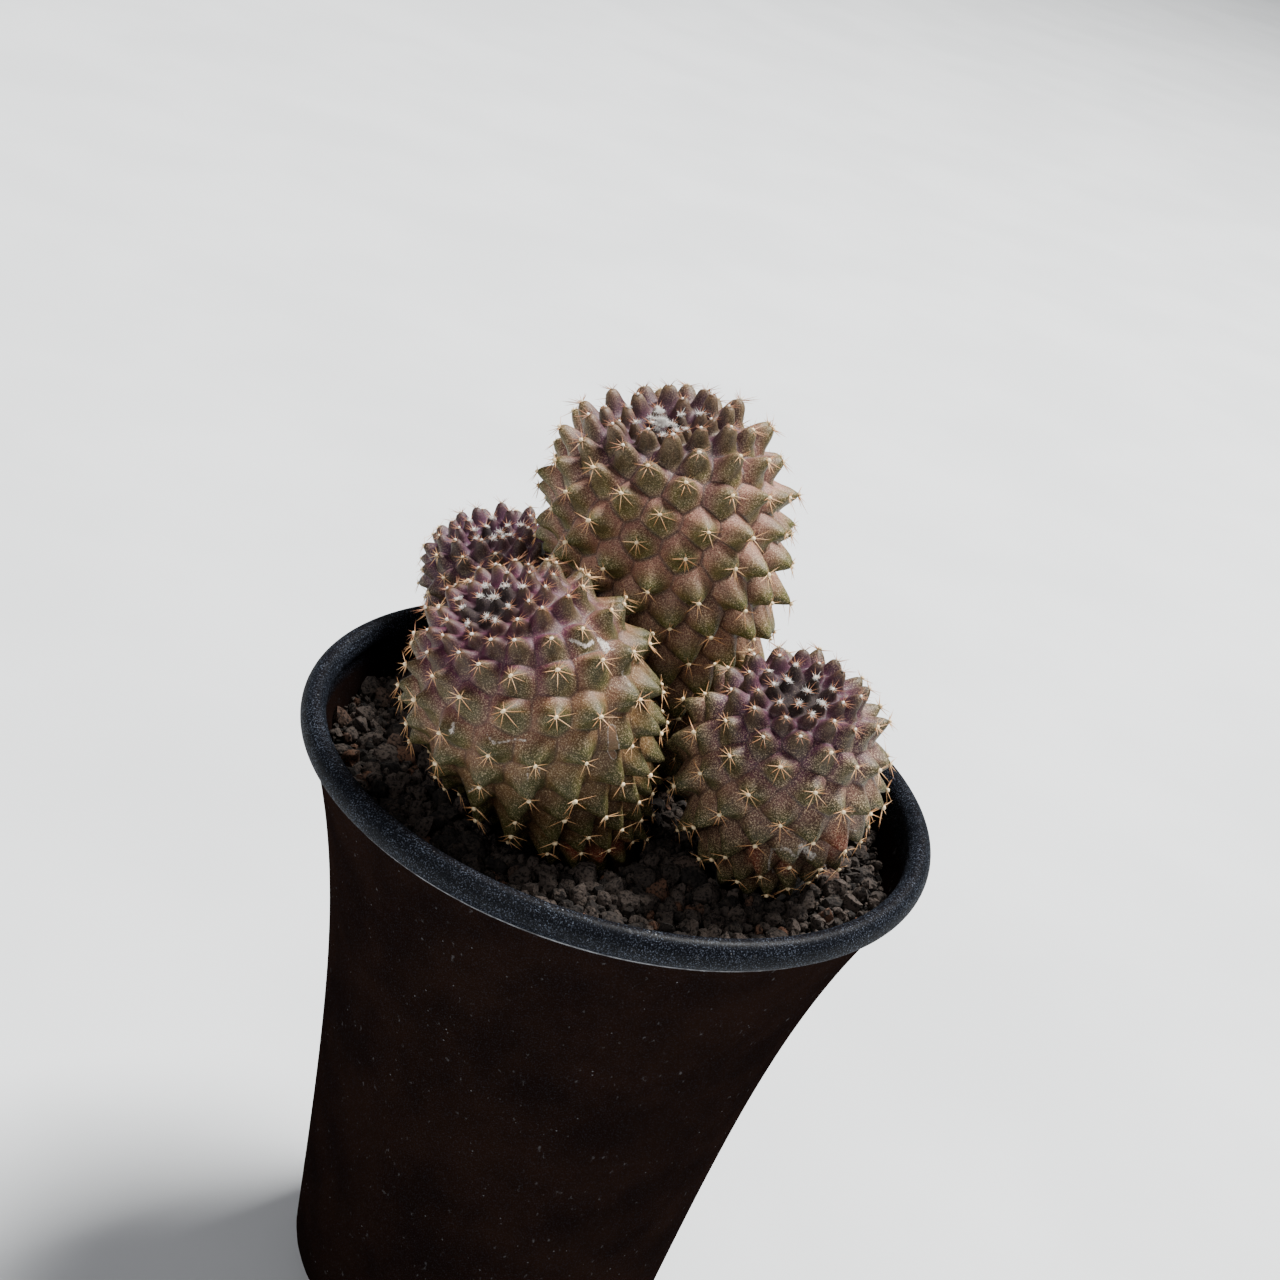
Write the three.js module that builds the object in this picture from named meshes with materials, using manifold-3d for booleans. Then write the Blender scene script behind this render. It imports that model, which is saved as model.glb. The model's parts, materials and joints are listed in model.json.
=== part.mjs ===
// A clump of four tubercled cactus stems in a flared black plastic pot filled with dark gravel.
// Millimetres, +Z up. The origin is on the table under the middle of the pot, and -Y is the front.
import * as THREE from "three";
import { ConvexHull } from "three/addons/math/ConvexHull.js";
import { mergeVertices } from "three/addons/utils/BufferGeometryUtils.js";
import Module from "manifold-3d";

const wasm = await Module();
wasm.setup();

// Driving dimensions of the pot.
const RIM_RADIUS = 52.5; // outside of the rolled bead
const RIM_HEIGHT = 110; // middle of the bead above the table
const BEAD_WIDTH = 4;
const BEAD_HEIGHT = 5;
const WALL = 1.2;
const WALL_FOOT_RADIUS = 31.7; // where the straight taper of the outer wall meets the table
const WALL_TAPER = 0.09;
const WALL_FLARE = 9.6; // how much wider than the straight taper the wall is at the bead
const WALL_FLARE_POWER = 4.1;
const CORNER_RADIUS = 8;
const FOOT_RING_INNER_RADIUS = 19.5;
const FOOT_RECESS = 1.5; // the floor inside the foot ring stands this far off the table
const DRAIN_RADIUS = 5;
const SIDE_DRAIN_RADIUS = 3.5;
const SIDE_DRAIN_CIRCLE = 12.8;
const SIDE_DRAIN_COUNT = 6;
const DRAIN_SIDES = 12;
const POT_SIDES = 36;
const OUTER_STATIONS = [30, 58, 78, 92, 101]; // heights at which the outer wall bends
const WALL_STATIONS = [97, 84, 62, 16]; // heights at which the inner wall bends
const BEAD_ARC = [-60, 200]; // degrees of the bead's section that show outside the wall

// Driving dimensions of the gravel.
const SOIL_LEVEL = 103.5; // where the stems' feet are measured
const STONE_PITCH = 6.8;
const STONE_JITTER = 0.3; // of the pitch
const STONE_RISE = 2.1; // from the gaps between stones to an average top
const STONE_TOP = [0.35, 0.35]; // mean and spread of a top corner above the level, of the rise
const STONE_GAP = [0.55, 0.25]; // mean and spread of a gap's depth below the level, of the rise
const STONE_SIZE = [0.27, 0.05]; // mean and spread from a stone's middle to a corner, of the pitch
const STONE_TURN = 0.45; // spread of a stone's turn, of a third of a circle
const FIT_GAP = 0.3; // between pieces that touch on the real thing
const SOCKET_GAP = 0.9; // between a stem's outermost form and its hole in the gravel
const SOCKET_SIDES = 16;
const SOCKET_STEPS = 5;
const SOCKET_TOP = 0.45; // share of the stem's height, well above the stones
const STONE_BED = 6; // depth below the gravel's level down to which its stones are modelled

// Driving dimensions that the four stems share.
const GOLDEN_ANGLE = Math.PI * (3 - Math.sqrt(5));
const OUTLINE_STEPS = 240;
const POLE_LATITUDE = -3; // stands for the endless latitude at the very top
const FIRST_AREOLE = 0.6; // how far out the first areole sits, of its cell's radius
const ANGLE_JITTER = 0.04;
const TIP_JITTER = 0.04; // of the spacing
const TIP_LIFT = [0.1, -0.1]; // tips sit towards the crown at the top and droop lower down
const FOOT_DROOP = -0.15; // further droop near the foot, of the spacing
const DROOP_SHARES = [0.35, 0.72]; // shares of the height between which that droop fades out
const LIFT_SHARES = [0.5, 0.85]; // shares of the height between which the droop turns into lift
const LIFT_RADIUS = 0.7; // share of the radius inside which the lift fades out to the crown
const DIP_RADII = [0.12, 0.55]; // shares of the radius between which the crown's dip fades out
const AREOLE_RADIUS = 0.105; // of the spacing
const AREOLE_DOME = 0.5; // height of an areole's middle over its edge, of its radius
const AREOLE_TURN = 0.3;
const SPINE_LENGTH = 0.37; // of the spacing
const SPINE_SPREAD = 0.15; // of the length
const SPINE_BEARING_JITTER = 0.25;
const SPINE_ERECT = [1.15, 0.5]; // radians off the surface, at the crown and on the flanks
const ERECT_RADII = [0.15, 0.75]; // shares of the radius between which the spines lie down
const SPINES_PER_AREOLE = 3;
const PRESS_GAP = 0.6; // between two stems that press on each other
const SPINE_CLEARANCE = 3.4; // an areole closer than this to a neighbour has no spines
const SPINES_ABOVE = SOIL_LEVEL + STONE_RISE + 1; // and none below the tops of the stones
const SKIN_FOOT = -0.04; // share of the height at which the tubercles end, just under the gravel
const NECK_FOOT = -0.15; // share of the height at which the stem has narrowed to its root
const TAPER_POWER = 1.6;
const ROOT_LENGTH = 12;
const ROOT_TIP_SHARE = 0.6;

// Each stem: foot is x, y where its axis meets the gravel; lean is the axis's tilt in degrees
// towards +X and +Y; radius and height go over the tubercles' tips; widest, roundness and foot
// shape the outline; spacing is the distance between tubercles at the crown, belly and foot;
// growth is how far down from the crown, in radii, they reach the belly's spacing; and rise is how
// high they stand, as a share of the spacing.
const STEMS = [
  {
    name: "stem_tall",
    foot: [7.9, 18.8],
    lean: [-16.3, -5.2],
    height: 66.6,
    radius: 21.2,
    widest: 0.65,
    roundness: 2.7,
    footShare: 0.4,
    spacing: [3.3, 7.0, 6.6],
    growth: 0.9,
    rise: [0.62, 0.56, 0.5],
    crownDip: 4.5,
    color: 0x675c49,
    seed: 11,
  },
  {
    name: "stem_front_left",
    foot: [0.1, -11.7],
    lean: [-33.4, -17.7],
    height: 50.9,
    radius: 20.0,
    widest: 0.62,
    roundness: 1.85,
    footShare: 0.42,
    spacing: [3.1, 7.6, 5.0],
    growth: 1.35,
    rise: [0.56, 0.42, 0.5],
    crownDip: 2.4,
    color: 0x6a5b48,
    seed: 23,
  },
  {
    name: "stem_front_right",
    foot: [25.0, -3.6],
    lean: [-4.5, -17.0],
    height: 40.3,
    radius: 17.6,
    widest: 0.5,
    roundness: 2.1,
    footShare: 0.52,
    spacing: [3.0, 6.8, 6.0],
    growth: 1.1,
    rise: [0.56, 0.5, 0.5],
    crownDip: 2.6,
    color: 0x63544a,
    seed: 37,
  },
  {
    name: "stem_back_left",
    foot: [-23.5, 26.2],
    lean: [-16.0, -5.2],
    height: 32.4,
    radius: 13.4,
    widest: 0.67,
    roundness: 2.75,
    footShare: 0.46,
    spacing: [2.6, 5.2, 5.0],
    growth: 1,
    rise: [0.6, 0.52, 0.5],
    crownDip: 2.2,
    color: 0x574049,
    seed: 41,
  },
];

const lerp = THREE.MathUtils.lerp;
const smoothstep = THREE.MathUtils.smoothstep;

// Seeded random numbers between -1 and 1, the same on every run.
function seededRandom(seed) {
  let state = seed;
  return () => {
    state = (state * 48271) % 2147483647;
    return (2 * state) / 2147483647 - 1;
  };
}

// Collects shared vertices and triangles, and gives them back as one geometry.
class Shell {
  constructor() {
    this.points = [];
    this.triangles = [];
  }
  point(vector) {
    this.points.push(vector);
    return this.points.length - 1;
  }
  triangle(a, b, c) {
    this.triangles.push([a, b, c]);
  }
  // Joins an outer and an inner loop of vertices by triangles. Both loops run counterclockwise,
  // seen from outside, and come as lists of [vertex, angle] with rising angles.
  stitch(outer, inner) {
    const turn = 2 * Math.PI;
    const at = (loop, i) => loop[i % loop.length][1] + turn * Math.floor(i / loop.length);
    const vertex = (loop, i) => loop[i % loop.length][0];
    let start = 0;
    while (start < inner.length && at(inner, start) < at(outer, 0)) start += 1;
    let i = 0;
    let j = start;
    while (i < outer.length || j < start + inner.length) {
      const outerNext = i < outer.length ? at(outer, i + 1) : Infinity;
      const innerNext = j < start + inner.length ? at(inner, j + 1) : Infinity;
      if (outerNext <= innerNext) {
        this.triangle(vertex(outer, i), vertex(outer, i + 1), vertex(inner, j));
        i += 1;
      } else {
        this.triangle(vertex(outer, i), vertex(inner, j + 1), vertex(inner, j));
        j += 1;
      }
    }
  }
  geometry() {
    const positions = this.points.flatMap((point) => point.toArray());
    return new THREE.BufferGeometry()
      .setAttribute("position", new THREE.Float32BufferAttribute(positions, 3))
      .setIndex(this.triangles.flat());
  }
}

// Joins and cuts: a geometry as a solid, and a solid as a geometry.
function solidOf(geometry, matrix = new THREE.Matrix4()) {
  let bare = geometry.clone().applyMatrix4(matrix);
  bare.deleteAttribute("normal");
  bare.deleteAttribute("uv");
  bare = mergeVertices(bare, 1e-4);
  return new wasm.Manifold(
    new wasm.Mesh({
      numProp: 3,
      vertProperties: new Float32Array(bare.attributes.position.array),
      triVerts: new Uint32Array(bare.index.array),
    }),
  );
}
function geometryOf(solid) {
  const mesh = solid.getMesh();
  return new THREE.BufferGeometry()
    .setAttribute("position", new THREE.BufferAttribute(mesh.vertProperties, 3))
    .setIndex(new THREE.BufferAttribute(mesh.triVerts, 1));
}
function turned(profile, sides) {
  return new THREE.LatheGeometry(
    profile.map(([radius, height]) => new THREE.Vector2(radius, height)),
    sides,
  ).rotateX(Math.PI / 2);
}

// The pot's outer wall: a straight taper with a flare that grows towards the rim.
function wallRadius(height) {
  const flare = WALL_FLARE * (height / RIM_HEIGHT) ** WALL_FLARE_POWER;
  return WALL_FOOT_RADIUS + WALL_TAPER * height + flare;
}

// Points on a quarter or more of an ellipse, as [radius, height].
function arc(centre, halfWidth, halfHeight, fromDegrees, toDegrees, steps) {
  return Array.from({ length: steps + 1 }, (_, i) => {
    const angle = THREE.MathUtils.degToRad(lerp(fromDegrees, toDegrees, i / steps));
    return [centre[0] + halfWidth * Math.cos(angle), centre[1] + halfHeight * Math.sin(angle)];
  });
}

function potGeometry() {
  const corner = [wallRadius(CORNER_RADIUS) - CORNER_RADIUS, CORNER_RADIUS];
  const bead = [RIM_RADIUS - BEAD_WIDTH / 2, RIM_HEIGHT];
  const beadFoot = RIM_HEIGHT - BEAD_HEIGHT / 2;
  const inside = (height) => [wallRadius(height) - WALL, height];
  const floor = FOOT_RECESS + WALL;
  const outer = OUTER_STATIONS.map((height) => [wallRadius(height), height]);
  const inner = [RIM_HEIGHT - BEAD_HEIGHT, ...WALL_STATIONS].map(inside);
  const profile = [
    [DRAIN_RADIUS, FOOT_RECESS],
    [FOOT_RING_INNER_RADIUS - FOOT_RECESS, FOOT_RECESS],
    [FOOT_RING_INNER_RADIUS, 0],
    ...arc(corner, CORNER_RADIUS, CORNER_RADIUS, -90, 0, 2),
    ...outer,
    [wallRadius(beadFoot), beadFoot],
    ...arc(bead, BEAD_WIDTH / 2, BEAD_HEIGHT / 2, ...BEAD_ARC, 7),
    ...inner,
    [corner[0], floor],
    [DRAIN_RADIUS, floor],
    [DRAIN_RADIUS, FOOT_RECESS],
  ];
  let pot = solidOf(turned(profile, POT_SIDES));
  const drillSize = [SIDE_DRAIN_RADIUS, SIDE_DRAIN_RADIUS, 4 * floor, DRAIN_SIDES];
  const drill = new THREE.CylinderGeometry(...drillSize);
  for (let i = 0; i < SIDE_DRAIN_COUNT; i += 1) {
    const turn = new THREE.Matrix4().makeRotationZ((i + 0.5) * ((2 * Math.PI) / SIDE_DRAIN_COUNT));
    const place = turn
      .multiply(new THREE.Matrix4().makeTranslation(SIDE_DRAIN_CIRCLE, 0, 0))
      .multiply(new THREE.Matrix4().makeRotationX(Math.PI / 2));
    pot = pot.subtract(solidOf(drill, place));
  }
  return geometryOf(pot);
}

// Radius over the tubercles' tips at a share of the stem's height above its foot.
function envelope(stem, share) {
  if (share > stem.widest) {
    const up = Math.min((share - stem.widest) / (1 - stem.widest), 1);
    return stem.radius * (1 - up ** stem.roundness) ** (1 / stem.roundness);
  }
  const down = (stem.widest - share) / stem.widest;
  return stem.radius * (1 - (1 - stem.footShare) * down ** TAPER_POWER);
}

// The stem's own frame: the origin at its foot on the gravel, +Z along its axis.
function placement(stem) {
  const [east, north] = stem.lean.map((degrees) => Math.tan(THREE.MathUtils.degToRad(degrees)));
  const axis = new THREE.Vector3(east, north, 1).normalize();
  const turn = new THREE.Quaternion().setFromUnitVectors(new THREE.Vector3(0, 0, 1), axis);
  const foot = new THREE.Vector3(...stem.foot, SOIL_LEVEL);
  return new THREE.Matrix4().compose(foot, turn, new THREE.Vector3(1, 1, 1));
}

// Walks the outline from the crown to the neck. Each station has its height and radius, the
// outward direction there, the length s walked so far, and the conformal latitude m, in which
// equal steps look square from all around, so that neighbours are found alike at every height.
function outline(stem) {
  const stations = [];
  const count = OUTLINE_STEPS;
  for (let i = 0; i <= count; i += 1) {
    const quarter = 0.5 * Math.PI * Math.min((2 * i) / count, 1);
    const below = Math.max((2 * i) / count - 1, 0);
    const above = lerp(stem.widest, 1, Math.cos(quarter));
    const share = i <= count / 2 ? above : lerp(stem.widest, NECK_FOOT, below);
    const radius = envelope(stem, share);
    stations.push({ share, radius, height: share * stem.height, s: 0, m: 0 });
  }
  for (let i = 1; i <= count; i += 1) {
    const [before, here] = [stations[i - 1], stations[i]];
    const step = Math.hypot(here.radius - before.radius, here.height - before.height);
    here.s = before.s + step;
    here.m = i === 1 ? 0 : before.m + (2 * step) / (here.radius + before.radius);
    const outward = [before.height - here.height, here.radius - before.radius];
    here.outward = [outward[0] / step, outward[1] / step];
  }
  stations[0].outward = [0, 1];
  stations[0].m = POLE_LATITUDE;
  return stations;
}

// The station at a given length s or latitude m, between its two nearest neighbours.
function stationAt(stations, key, value) {
  let low = 0;
  let high = stations.length - 1;
  while (high - low > 1) {
    const middle = (low + high) >> 1;
    if (stations[middle][key] > value) high = middle;
    else low = middle;
  }
  const [a, b] = [stations[low], stations[high]];
  const f = THREE.MathUtils.clamp((value - a[key]) / (b[key] - a[key]), 0, 1);
  const station = { outward: [0, 1].map((i) => lerp(a.outward[i], b.outward[i], f)) };
  const names = ["share", "radius", "height", "s", "m"];
  names.forEach((name) => (station[name] = lerp(a[name], b[name], f)));
  return station;
}

// A value given at the crown, belly and foot, at a station of the outline between them.
function along(stem, [crown, belly, foot], station) {
  const fromCrown = smoothstep(station.s, 0, stem.growth * stem.radius);
  const toFoot = smoothstep(stem.widest - station.share, 0, stem.widest);
  return lerp(lerp(crown, belly, fromCrown), foot, toFoot);
}

function spacingAt(stem, station) {
  return along(stem, stem.spacing, station);
}

// A point on the stem at a station and an angle, sunk below the outline by a depth.
function surfacePoint(stem, station, angle, depth) {
  const [inner, outer] = DIP_RADII.map((share) => share * stem.radius);
  const dip = stem.crownDip * (1 - smoothstep(station.radius, inner, outer));
  const crownSide = station.share > stem.widest ? dip : 0;
  const radius = Math.max(station.radius - depth * station.outward[0], 0);
  const height = station.height - depth * station.outward[1] - crownSide;
  return new THREE.Vector3(radius * Math.cos(angle), radius * Math.sin(angle), height);
}

// Where a stem would press on a bigger neighbour, it gives way: the point moves off the
// neighbour's axis until it lies just outside the neighbour's outline.
function clearOf(point, neighbours, gap) {
  const moved = point.clone();
  for (const { stem, matrix, inverse } of neighbours) {
    const local = moved.clone().applyMatrix4(inverse);
    const share = local.z / stem.height;
    if (share <= NECK_FOOT || share >= 1) continue;
    const reach = envelope(stem, share) + gap;
    const distance = Math.hypot(local.x, local.y);
    if (distance >= reach) continue;
    local.x *= reach / distance;
    local.y *= reach / distance;
    moved.copy(local.applyMatrix4(matrix));
  }
  return moved;
}

// How far a point is from the nearest of the neighbours' outlines, measured square to their axes.
function roomTo(point, neighbours) {
  return Math.min(
    ...neighbours.map(({ stem, inverse }) => {
      const local = point.clone().applyMatrix4(inverse);
      const share = THREE.MathUtils.clamp(local.z / stem.height, NECK_FOOT, 1);
      const over = Math.max(local.z - stem.height, 0);
      return Math.hypot(Math.max(Math.hypot(local.x, local.y) - envelope(stem, share), 0), over);
    }),
  );
}

// Areoles in golden-angle order from the crown to the foot, each taking the area of its spacing.
function areoleSites(stem, stations) {
  const sites = [];
  const random = seededRandom(stem.seed);
  const cell = (station) => (Math.sqrt(3) / 2) * spacingAt(stem, station) ** 2;
  let s = FIRST_AREOLE * Math.sqrt(cell(stations[0]) / Math.PI);
  for (let i = 0; ; i += 1) {
    const station = stationAt(stations, "s", s);
    if (station.share < SKIN_FOOT) return sites;
    const angle = i * GOLDEN_ANGLE + ANGLE_JITTER * random();
    sites.push({ station, angle, jitter: [random(), random(), random()] });
    s += cell(station) / (2 * Math.PI * station.radius);
  }
}

// Neighbouring areoles are found on a sphere: angle and latitude m map each site onto it without
// bending its surroundings, and the faces of the sites' hull join each site to its neighbours.
function onSphere(angle, m) {
  const polar = 2 * Math.atan(Math.exp(m));
  return new THREE.Vector3(
    Math.sin(polar) * Math.cos(angle),
    Math.sin(polar) * Math.sin(angle),
    Math.cos(polar),
  );
}

function hullFaces(directions) {
  const order = new Map(directions.map((direction, i) => [direction, i]));
  return new ConvexHull().setFromPoints(directions).faces.map((face) => {
    const corners = [];
    let edge = face.edge;
    do {
      corners.push(order.get(edge.head().point));
      edge = edge.next;
    } while (edge !== face.edge);
    return corners;
  });
}

// One straight spine stands on a small face of the areole: three flanks that meet in a point.
function addSpine(shell, face, tip) {
  const end = shell.point(tip);
  for (let i = 0; i < 3; i += 1) shell.triangle(face[i], face[(i + 1) % 3], end);
}

// A stem is a skin of tubercles. Each rises from the valley points round it to a small areole
// at its tip, which bears a star of spines. The skin narrows below the gravel to a short root.
function stemGeometry(stem, place, bigger, others) {
  const shell = new Shell();
  const random = seededRandom(stem.seed + 1);
  const stations = outline(stem);
  const middle = stations[stations.length >> 1].m;
  const back = place.clone().invert();
  const pressed = (point) => clearOf(point.applyMatrix4(place), bigger, PRESS_GAP).applyMatrix4(back);
  const sites = areoleSites(stem, stations);
  const directions = sites.map((site) => onSphere(site.angle, site.station.m - middle));
  const foot = directions.push(new THREE.Vector3(0, 0, -1)) - 1;
  const footStation = stations.find((station) => station.share < SKIN_FOOT);
  const neckStation = stations[stations.length - 1];

  // Valley points, each noted with the sites that it lies between.
  const around = directions.map(() => []);
  const footRing = [];
  for (const corners of hullFaces(directions)) {
    const atFoot = corners.includes(foot);
    const sum = new THREE.Vector3();
    corners.filter((i) => i !== foot).forEach((i) => sum.add(directions[i]));
    const angle = Math.atan2(sum.y, sum.x);
    const polar = Math.acos(sum.normalize().z);
    const m = Math.log(Math.tan(polar / 2)) + middle;
    const station = atFoot ? footStation : stationAt(stations, "m", m);
    const depth = along(stem, stem.rise, station) * spacingAt(stem, station);
    const valley = shell.point(pressed(surfacePoint(stem, station, angle, depth)));
    const direction = atFoot ? onSphere(angle, footStation.m - middle) : sum;
    corners.forEach((i) => around[i].push([valley, direction]));
    if (atFoot) footRing.push([valley, angle]);
  }

  // Tubercles.
  sites.forEach((site, i) => {
    const { station, angle, jitter } = site;
    const spacing = spacingAt(stem, station);
    const east = new THREE.Vector3(-Math.sin(angle), Math.cos(angle), 0);
    const [out, rise] = station.outward;
    const normal = new THREE.Vector3(out * Math.cos(angle), out * Math.sin(angle), rise).normalize();
    const north = new THREE.Vector3().crossVectors(normal, east);
    const shoulder = smoothstep(station.share, ...LIFT_SHARES);
    const towardsCrown = shoulder * smoothstep(station.radius, 0, LIFT_RADIUS * stem.radius);
    const droop = FOOT_DROOP * (1 - smoothstep(station.share, ...DROOP_SHARES));
    const lift = lerp(TIP_LIFT[1], TIP_LIFT[0], towardsCrown) + droop + TIP_JITTER * jitter[1];
    const tip = surfacePoint(stem, station, angle, 0)
      .addScaledVector(north, lift * spacing)
      .addScaledVector(east, TIP_JITTER * spacing * jitter[2]);
    const areole = AREOLE_RADIUS * spacing;
    const centre = shell.point(pressed(tip.clone()));
    const sector = (2 * Math.PI) / SPINES_PER_AREOLE;
    const ring = Array.from({ length: SPINES_PER_AREOLE }, (_, k) => {
      const turn = -Math.PI + (k + 0.5 + AREOLE_TURN * jitter[0]) * sector;
      const corner = tip
        .clone()
        .addScaledVector(east, areole * Math.cos(turn))
        .addScaledVector(north, areole * Math.sin(turn))
        .addScaledVector(normal, -AREOLE_DOME * areole);
      return [shell.point(pressed(corner)), turn];
    });
    const towards = directions[i];
    const northOnSphere = new THREE.Vector3().crossVectors(towards, east);
    const valleys = around[i]
      .map(([valley, direction]) => {
        const step = direction.clone().sub(towards);
        return [valley, Math.atan2(step.dot(northOnSphere), step.dot(east))];
      })
      .sort((a, b) => a[1] - b[1]);
    shell.stitch(valleys, ring);

    const world = tip.clone().applyMatrix4(place);
    const bare = roomTo(world, others) < SPINE_CLEARANCE || world.z < SPINES_ABOVE;
    const [upright, lying] = ERECT_RADII.map((share) => share * stem.radius);
    const erect = lerp(...SPINE_ERECT, smoothstep(station.radius, upright, lying));
    ring.forEach(([corner, turn], k) => {
      const [next] = ring[(k + 1) % ring.length];
      if (bare) {
        shell.triangle(corner, next, centre);
        return;
      }
      const bearing = turn + sector / 2 + SPINE_BEARING_JITTER * random();
      const length = SPINE_LENGTH * spacing * (1 + SPINE_SPREAD * random());
      const end = tip
        .clone()
        .addScaledVector(east, length * Math.cos(erect) * Math.cos(bearing))
        .addScaledVector(north, length * Math.cos(erect) * Math.sin(bearing))
        .addScaledVector(normal, length * Math.sin(erect));
      addSpine(shell, [corner, next, centre], end);
    });
  });

  // The neck and the root, under the gravel.
  footRing.sort((a, b) => a[1] - b[1]);
  const ringAt = (radius, height) =>
    footRing.map(([, angle]) => {
      const [x, y] = [radius * Math.cos(angle), radius * Math.sin(angle)];
      return [shell.point(new THREE.Vector3(x, y, height)), angle];
    });
  const root = neckStation.height - ROOT_LENGTH;
  const neckRadius = neckStation.radius;
  const neck = ringAt(neckRadius, neckStation.height);
  const rings = [footRing, neck, ringAt(ROOT_TIP_SHARE * neckRadius, root)];
  const rootTip = shell.point(new THREE.Vector3(0, 0, root));
  footRing.forEach((_, i) => {
    const j = (i + 1) % footRing.length;
    for (let k = 0; k + 1 < rings.length; k += 1) {
      const [upper, lower] = [rings[k], rings[k + 1]];
      shell.triangle(lower[i][0], lower[j][0], upper[j][0]);
      shell.triangle(lower[i][0], upper[j][0], upper[i][0]);
    }
    const last = rings[rings.length - 1];
    shell.triangle(rootTip, last[j][0], last[i][0]);
  });
  return shell.geometry();
}

// The hole that a stem stands in: its outline with a small gap all round, down past the root.
function socketGeometry(stem) {
  const side = Array.from({ length: SOCKET_STEPS + 1 }, (_, i) => {
    const share = lerp(NECK_FOOT, SOCKET_TOP, i / SOCKET_STEPS);
    return [envelope(stem, share) + SOCKET_GAP, share * stem.height];
  });
  const rootRadius = ROOT_TIP_SHARE * envelope(stem, NECK_FOOT) + FIT_GAP;
  const bottom = NECK_FOOT * stem.height - ROOT_LENGTH - FIT_GAP;
  const profile = [[0, bottom], [rootRadius, bottom], ...side, [0, SOCKET_TOP * stem.height]];
  return turned(profile, SOCKET_SIDES);
}

// Broken stones lie side by side over the gravel's whole surface. Each is a small block with three
// top corners, set on a jittered triangular lattice, with a low point between every three stones.
function stonesGeometry() {
  const shell = new Shell();
  const random = seededRandom(5);
  const spread = ([mean, range]) => mean + range * random();
  const rowPitch = (STONE_PITCH * Math.sqrt(3)) / 2;
  const reach = Math.ceil(RIM_RADIUS / rowPitch);
  const key = (column, row) => column + "," + row;
  const stones = new Map();
  for (let row = -reach; row <= reach; row += 1) {
    for (let column = -2 * reach; column <= 2 * reach; column += 1) {
      const x = (column + row / 2 + STONE_JITTER * random()) * STONE_PITCH;
      const y = row * rowPitch + STONE_JITTER * STONE_PITCH * random();
      if (Math.hypot(x, y) > RIM_RADIUS + STONE_PITCH) continue;
      stones.set(key(column, row), new THREE.Vector3(x, y, 0));
    }
  }
  const gaps = new Map();
  const gapBetween = (names) => {
    const name = [...names].sort().join(" ");
    if (!gaps.has(name)) {
      const low = new THREE.Vector3();
      names.forEach((n) => low.addScaledVector(stones.get(n), 1 / names.length));
      low.z = SOIL_LEVEL - STONE_RISE * spread(STONE_GAP);
      gaps.set(name, shell.point(low));
    }
    return gaps.get(name);
  };
  const steps = [[1, 0], [0, 1], [-1, 1], [-1, 0], [0, -1], [1, -1]];
  for (const [name, stone] of stones) {
    const [column, row] = name.split(",").map(Number);
    const neighbours = steps.map(([c, r]) => key(column + c, row + r));
    if (!neighbours.every((n) => stones.has(n))) continue;
    const outer = neighbours.map((n, i) => {
      const low = gapBetween([name, n, neighbours[(i + 1) % neighbours.length]]);
      const point = shell.points[low];
      return [low, Math.atan2(point.y - stone.y, point.x - stone.x)];
    });
    outer.sort((a, b) => a[1] - b[1]);
    const turn = random();
    const inner = [0, 1, 2].map((i) => {
      const angle = -Math.PI + (i + 0.5 + STONE_TURN * turn) * ((2 * Math.PI) / 3);
      const size = STONE_PITCH * spread(STONE_SIZE);
      const corner = new THREE.Vector3(size * Math.cos(angle), size * Math.sin(angle), 0).add(stone);
      corner.z = SOIL_LEVEL + STONE_RISE * spread(STONE_TOP);
      return [shell.point(corner), angle];
    });
    shell.stitch(outer, inner);
    shell.triangle(...inner.map(([corner]) => corner));
  }
  return closedBelow(shell, SOIL_LEVEL - STONE_BED - STONE_RISE).geometry();
}

// Closes an open sheet with a wall from its edge down to a flat bottom.
function closedBelow(shell, bottom) {
  const edges = new Map();
  for (const [a, b, c] of shell.triangles) {
    for (const [from, to] of [[a, b], [b, c], [c, a]]) {
      if (!edges.delete(to + "," + from)) edges.set(from + "," + to, [from, to]);
    }
  }
  const below = new Map();
  const drop = (vertex) => {
    if (!below.has(vertex)) below.set(vertex, shell.point(shell.points[vertex].clone().setZ(bottom)));
    return below.get(vertex);
  };
  const centre = shell.point(new THREE.Vector3(0, 0, bottom));
  for (const [from, to] of edges.values()) {
    shell.triangle(to, from, drop(from));
    shell.triangle(to, drop(from), drop(to));
    shell.triangle(drop(to), drop(from), centre);
  }
  return shell;
}

// The gravel fills the pot to just under the rim, with its stones on top and the stems' holes cut.
function soilGeometry(placed) {
  const inside = (height) => [wallRadius(height) - WALL - FIT_GAP, height];
  const floor = FOOT_RECESS + WALL + FIT_GAP;
  const floorRadius = wallRadius(CORNER_RADIUS) - CORNER_RADIUS - WALL;
  const bed = SOIL_LEVEL - STONE_BED;
  const lid = RIM_HEIGHT;
  const wallUpTo = (top) => [
    [0, floor],
    [floorRadius, floor],
    ...WALL_STATIONS.toReversed().filter((height) => height < top).map(inside),
    inside(top),
    [0, top],
  ];
  const bulk = solidOf(turned(wallUpTo(bed), POT_SIDES));
  const topLayer = solidOf(stonesGeometry()).intersect(solidOf(turned(wallUpTo(lid), POT_SIDES)));
  const holes = placed.map(({ stem, matrix }) => solidOf(socketGeometry(stem), matrix));
  return geometryOf(holes.reduce((soil, hole) => soil.subtract(hole), bulk.add(topLayer)));
}

function material(color, roughness) {
  return new THREE.MeshStandardMaterial({ color, roughness, metalness: 0 });
}

function mesh(name, geometry, look) {
  const piece = new THREE.Mesh(geometry, look);
  piece.name = name;
  return piece;
}

const placed = STEMS.map((stem) => {
  const matrix = placement(stem);
  return { stem, matrix, inverse: matrix.clone().invert() };
});

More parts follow.
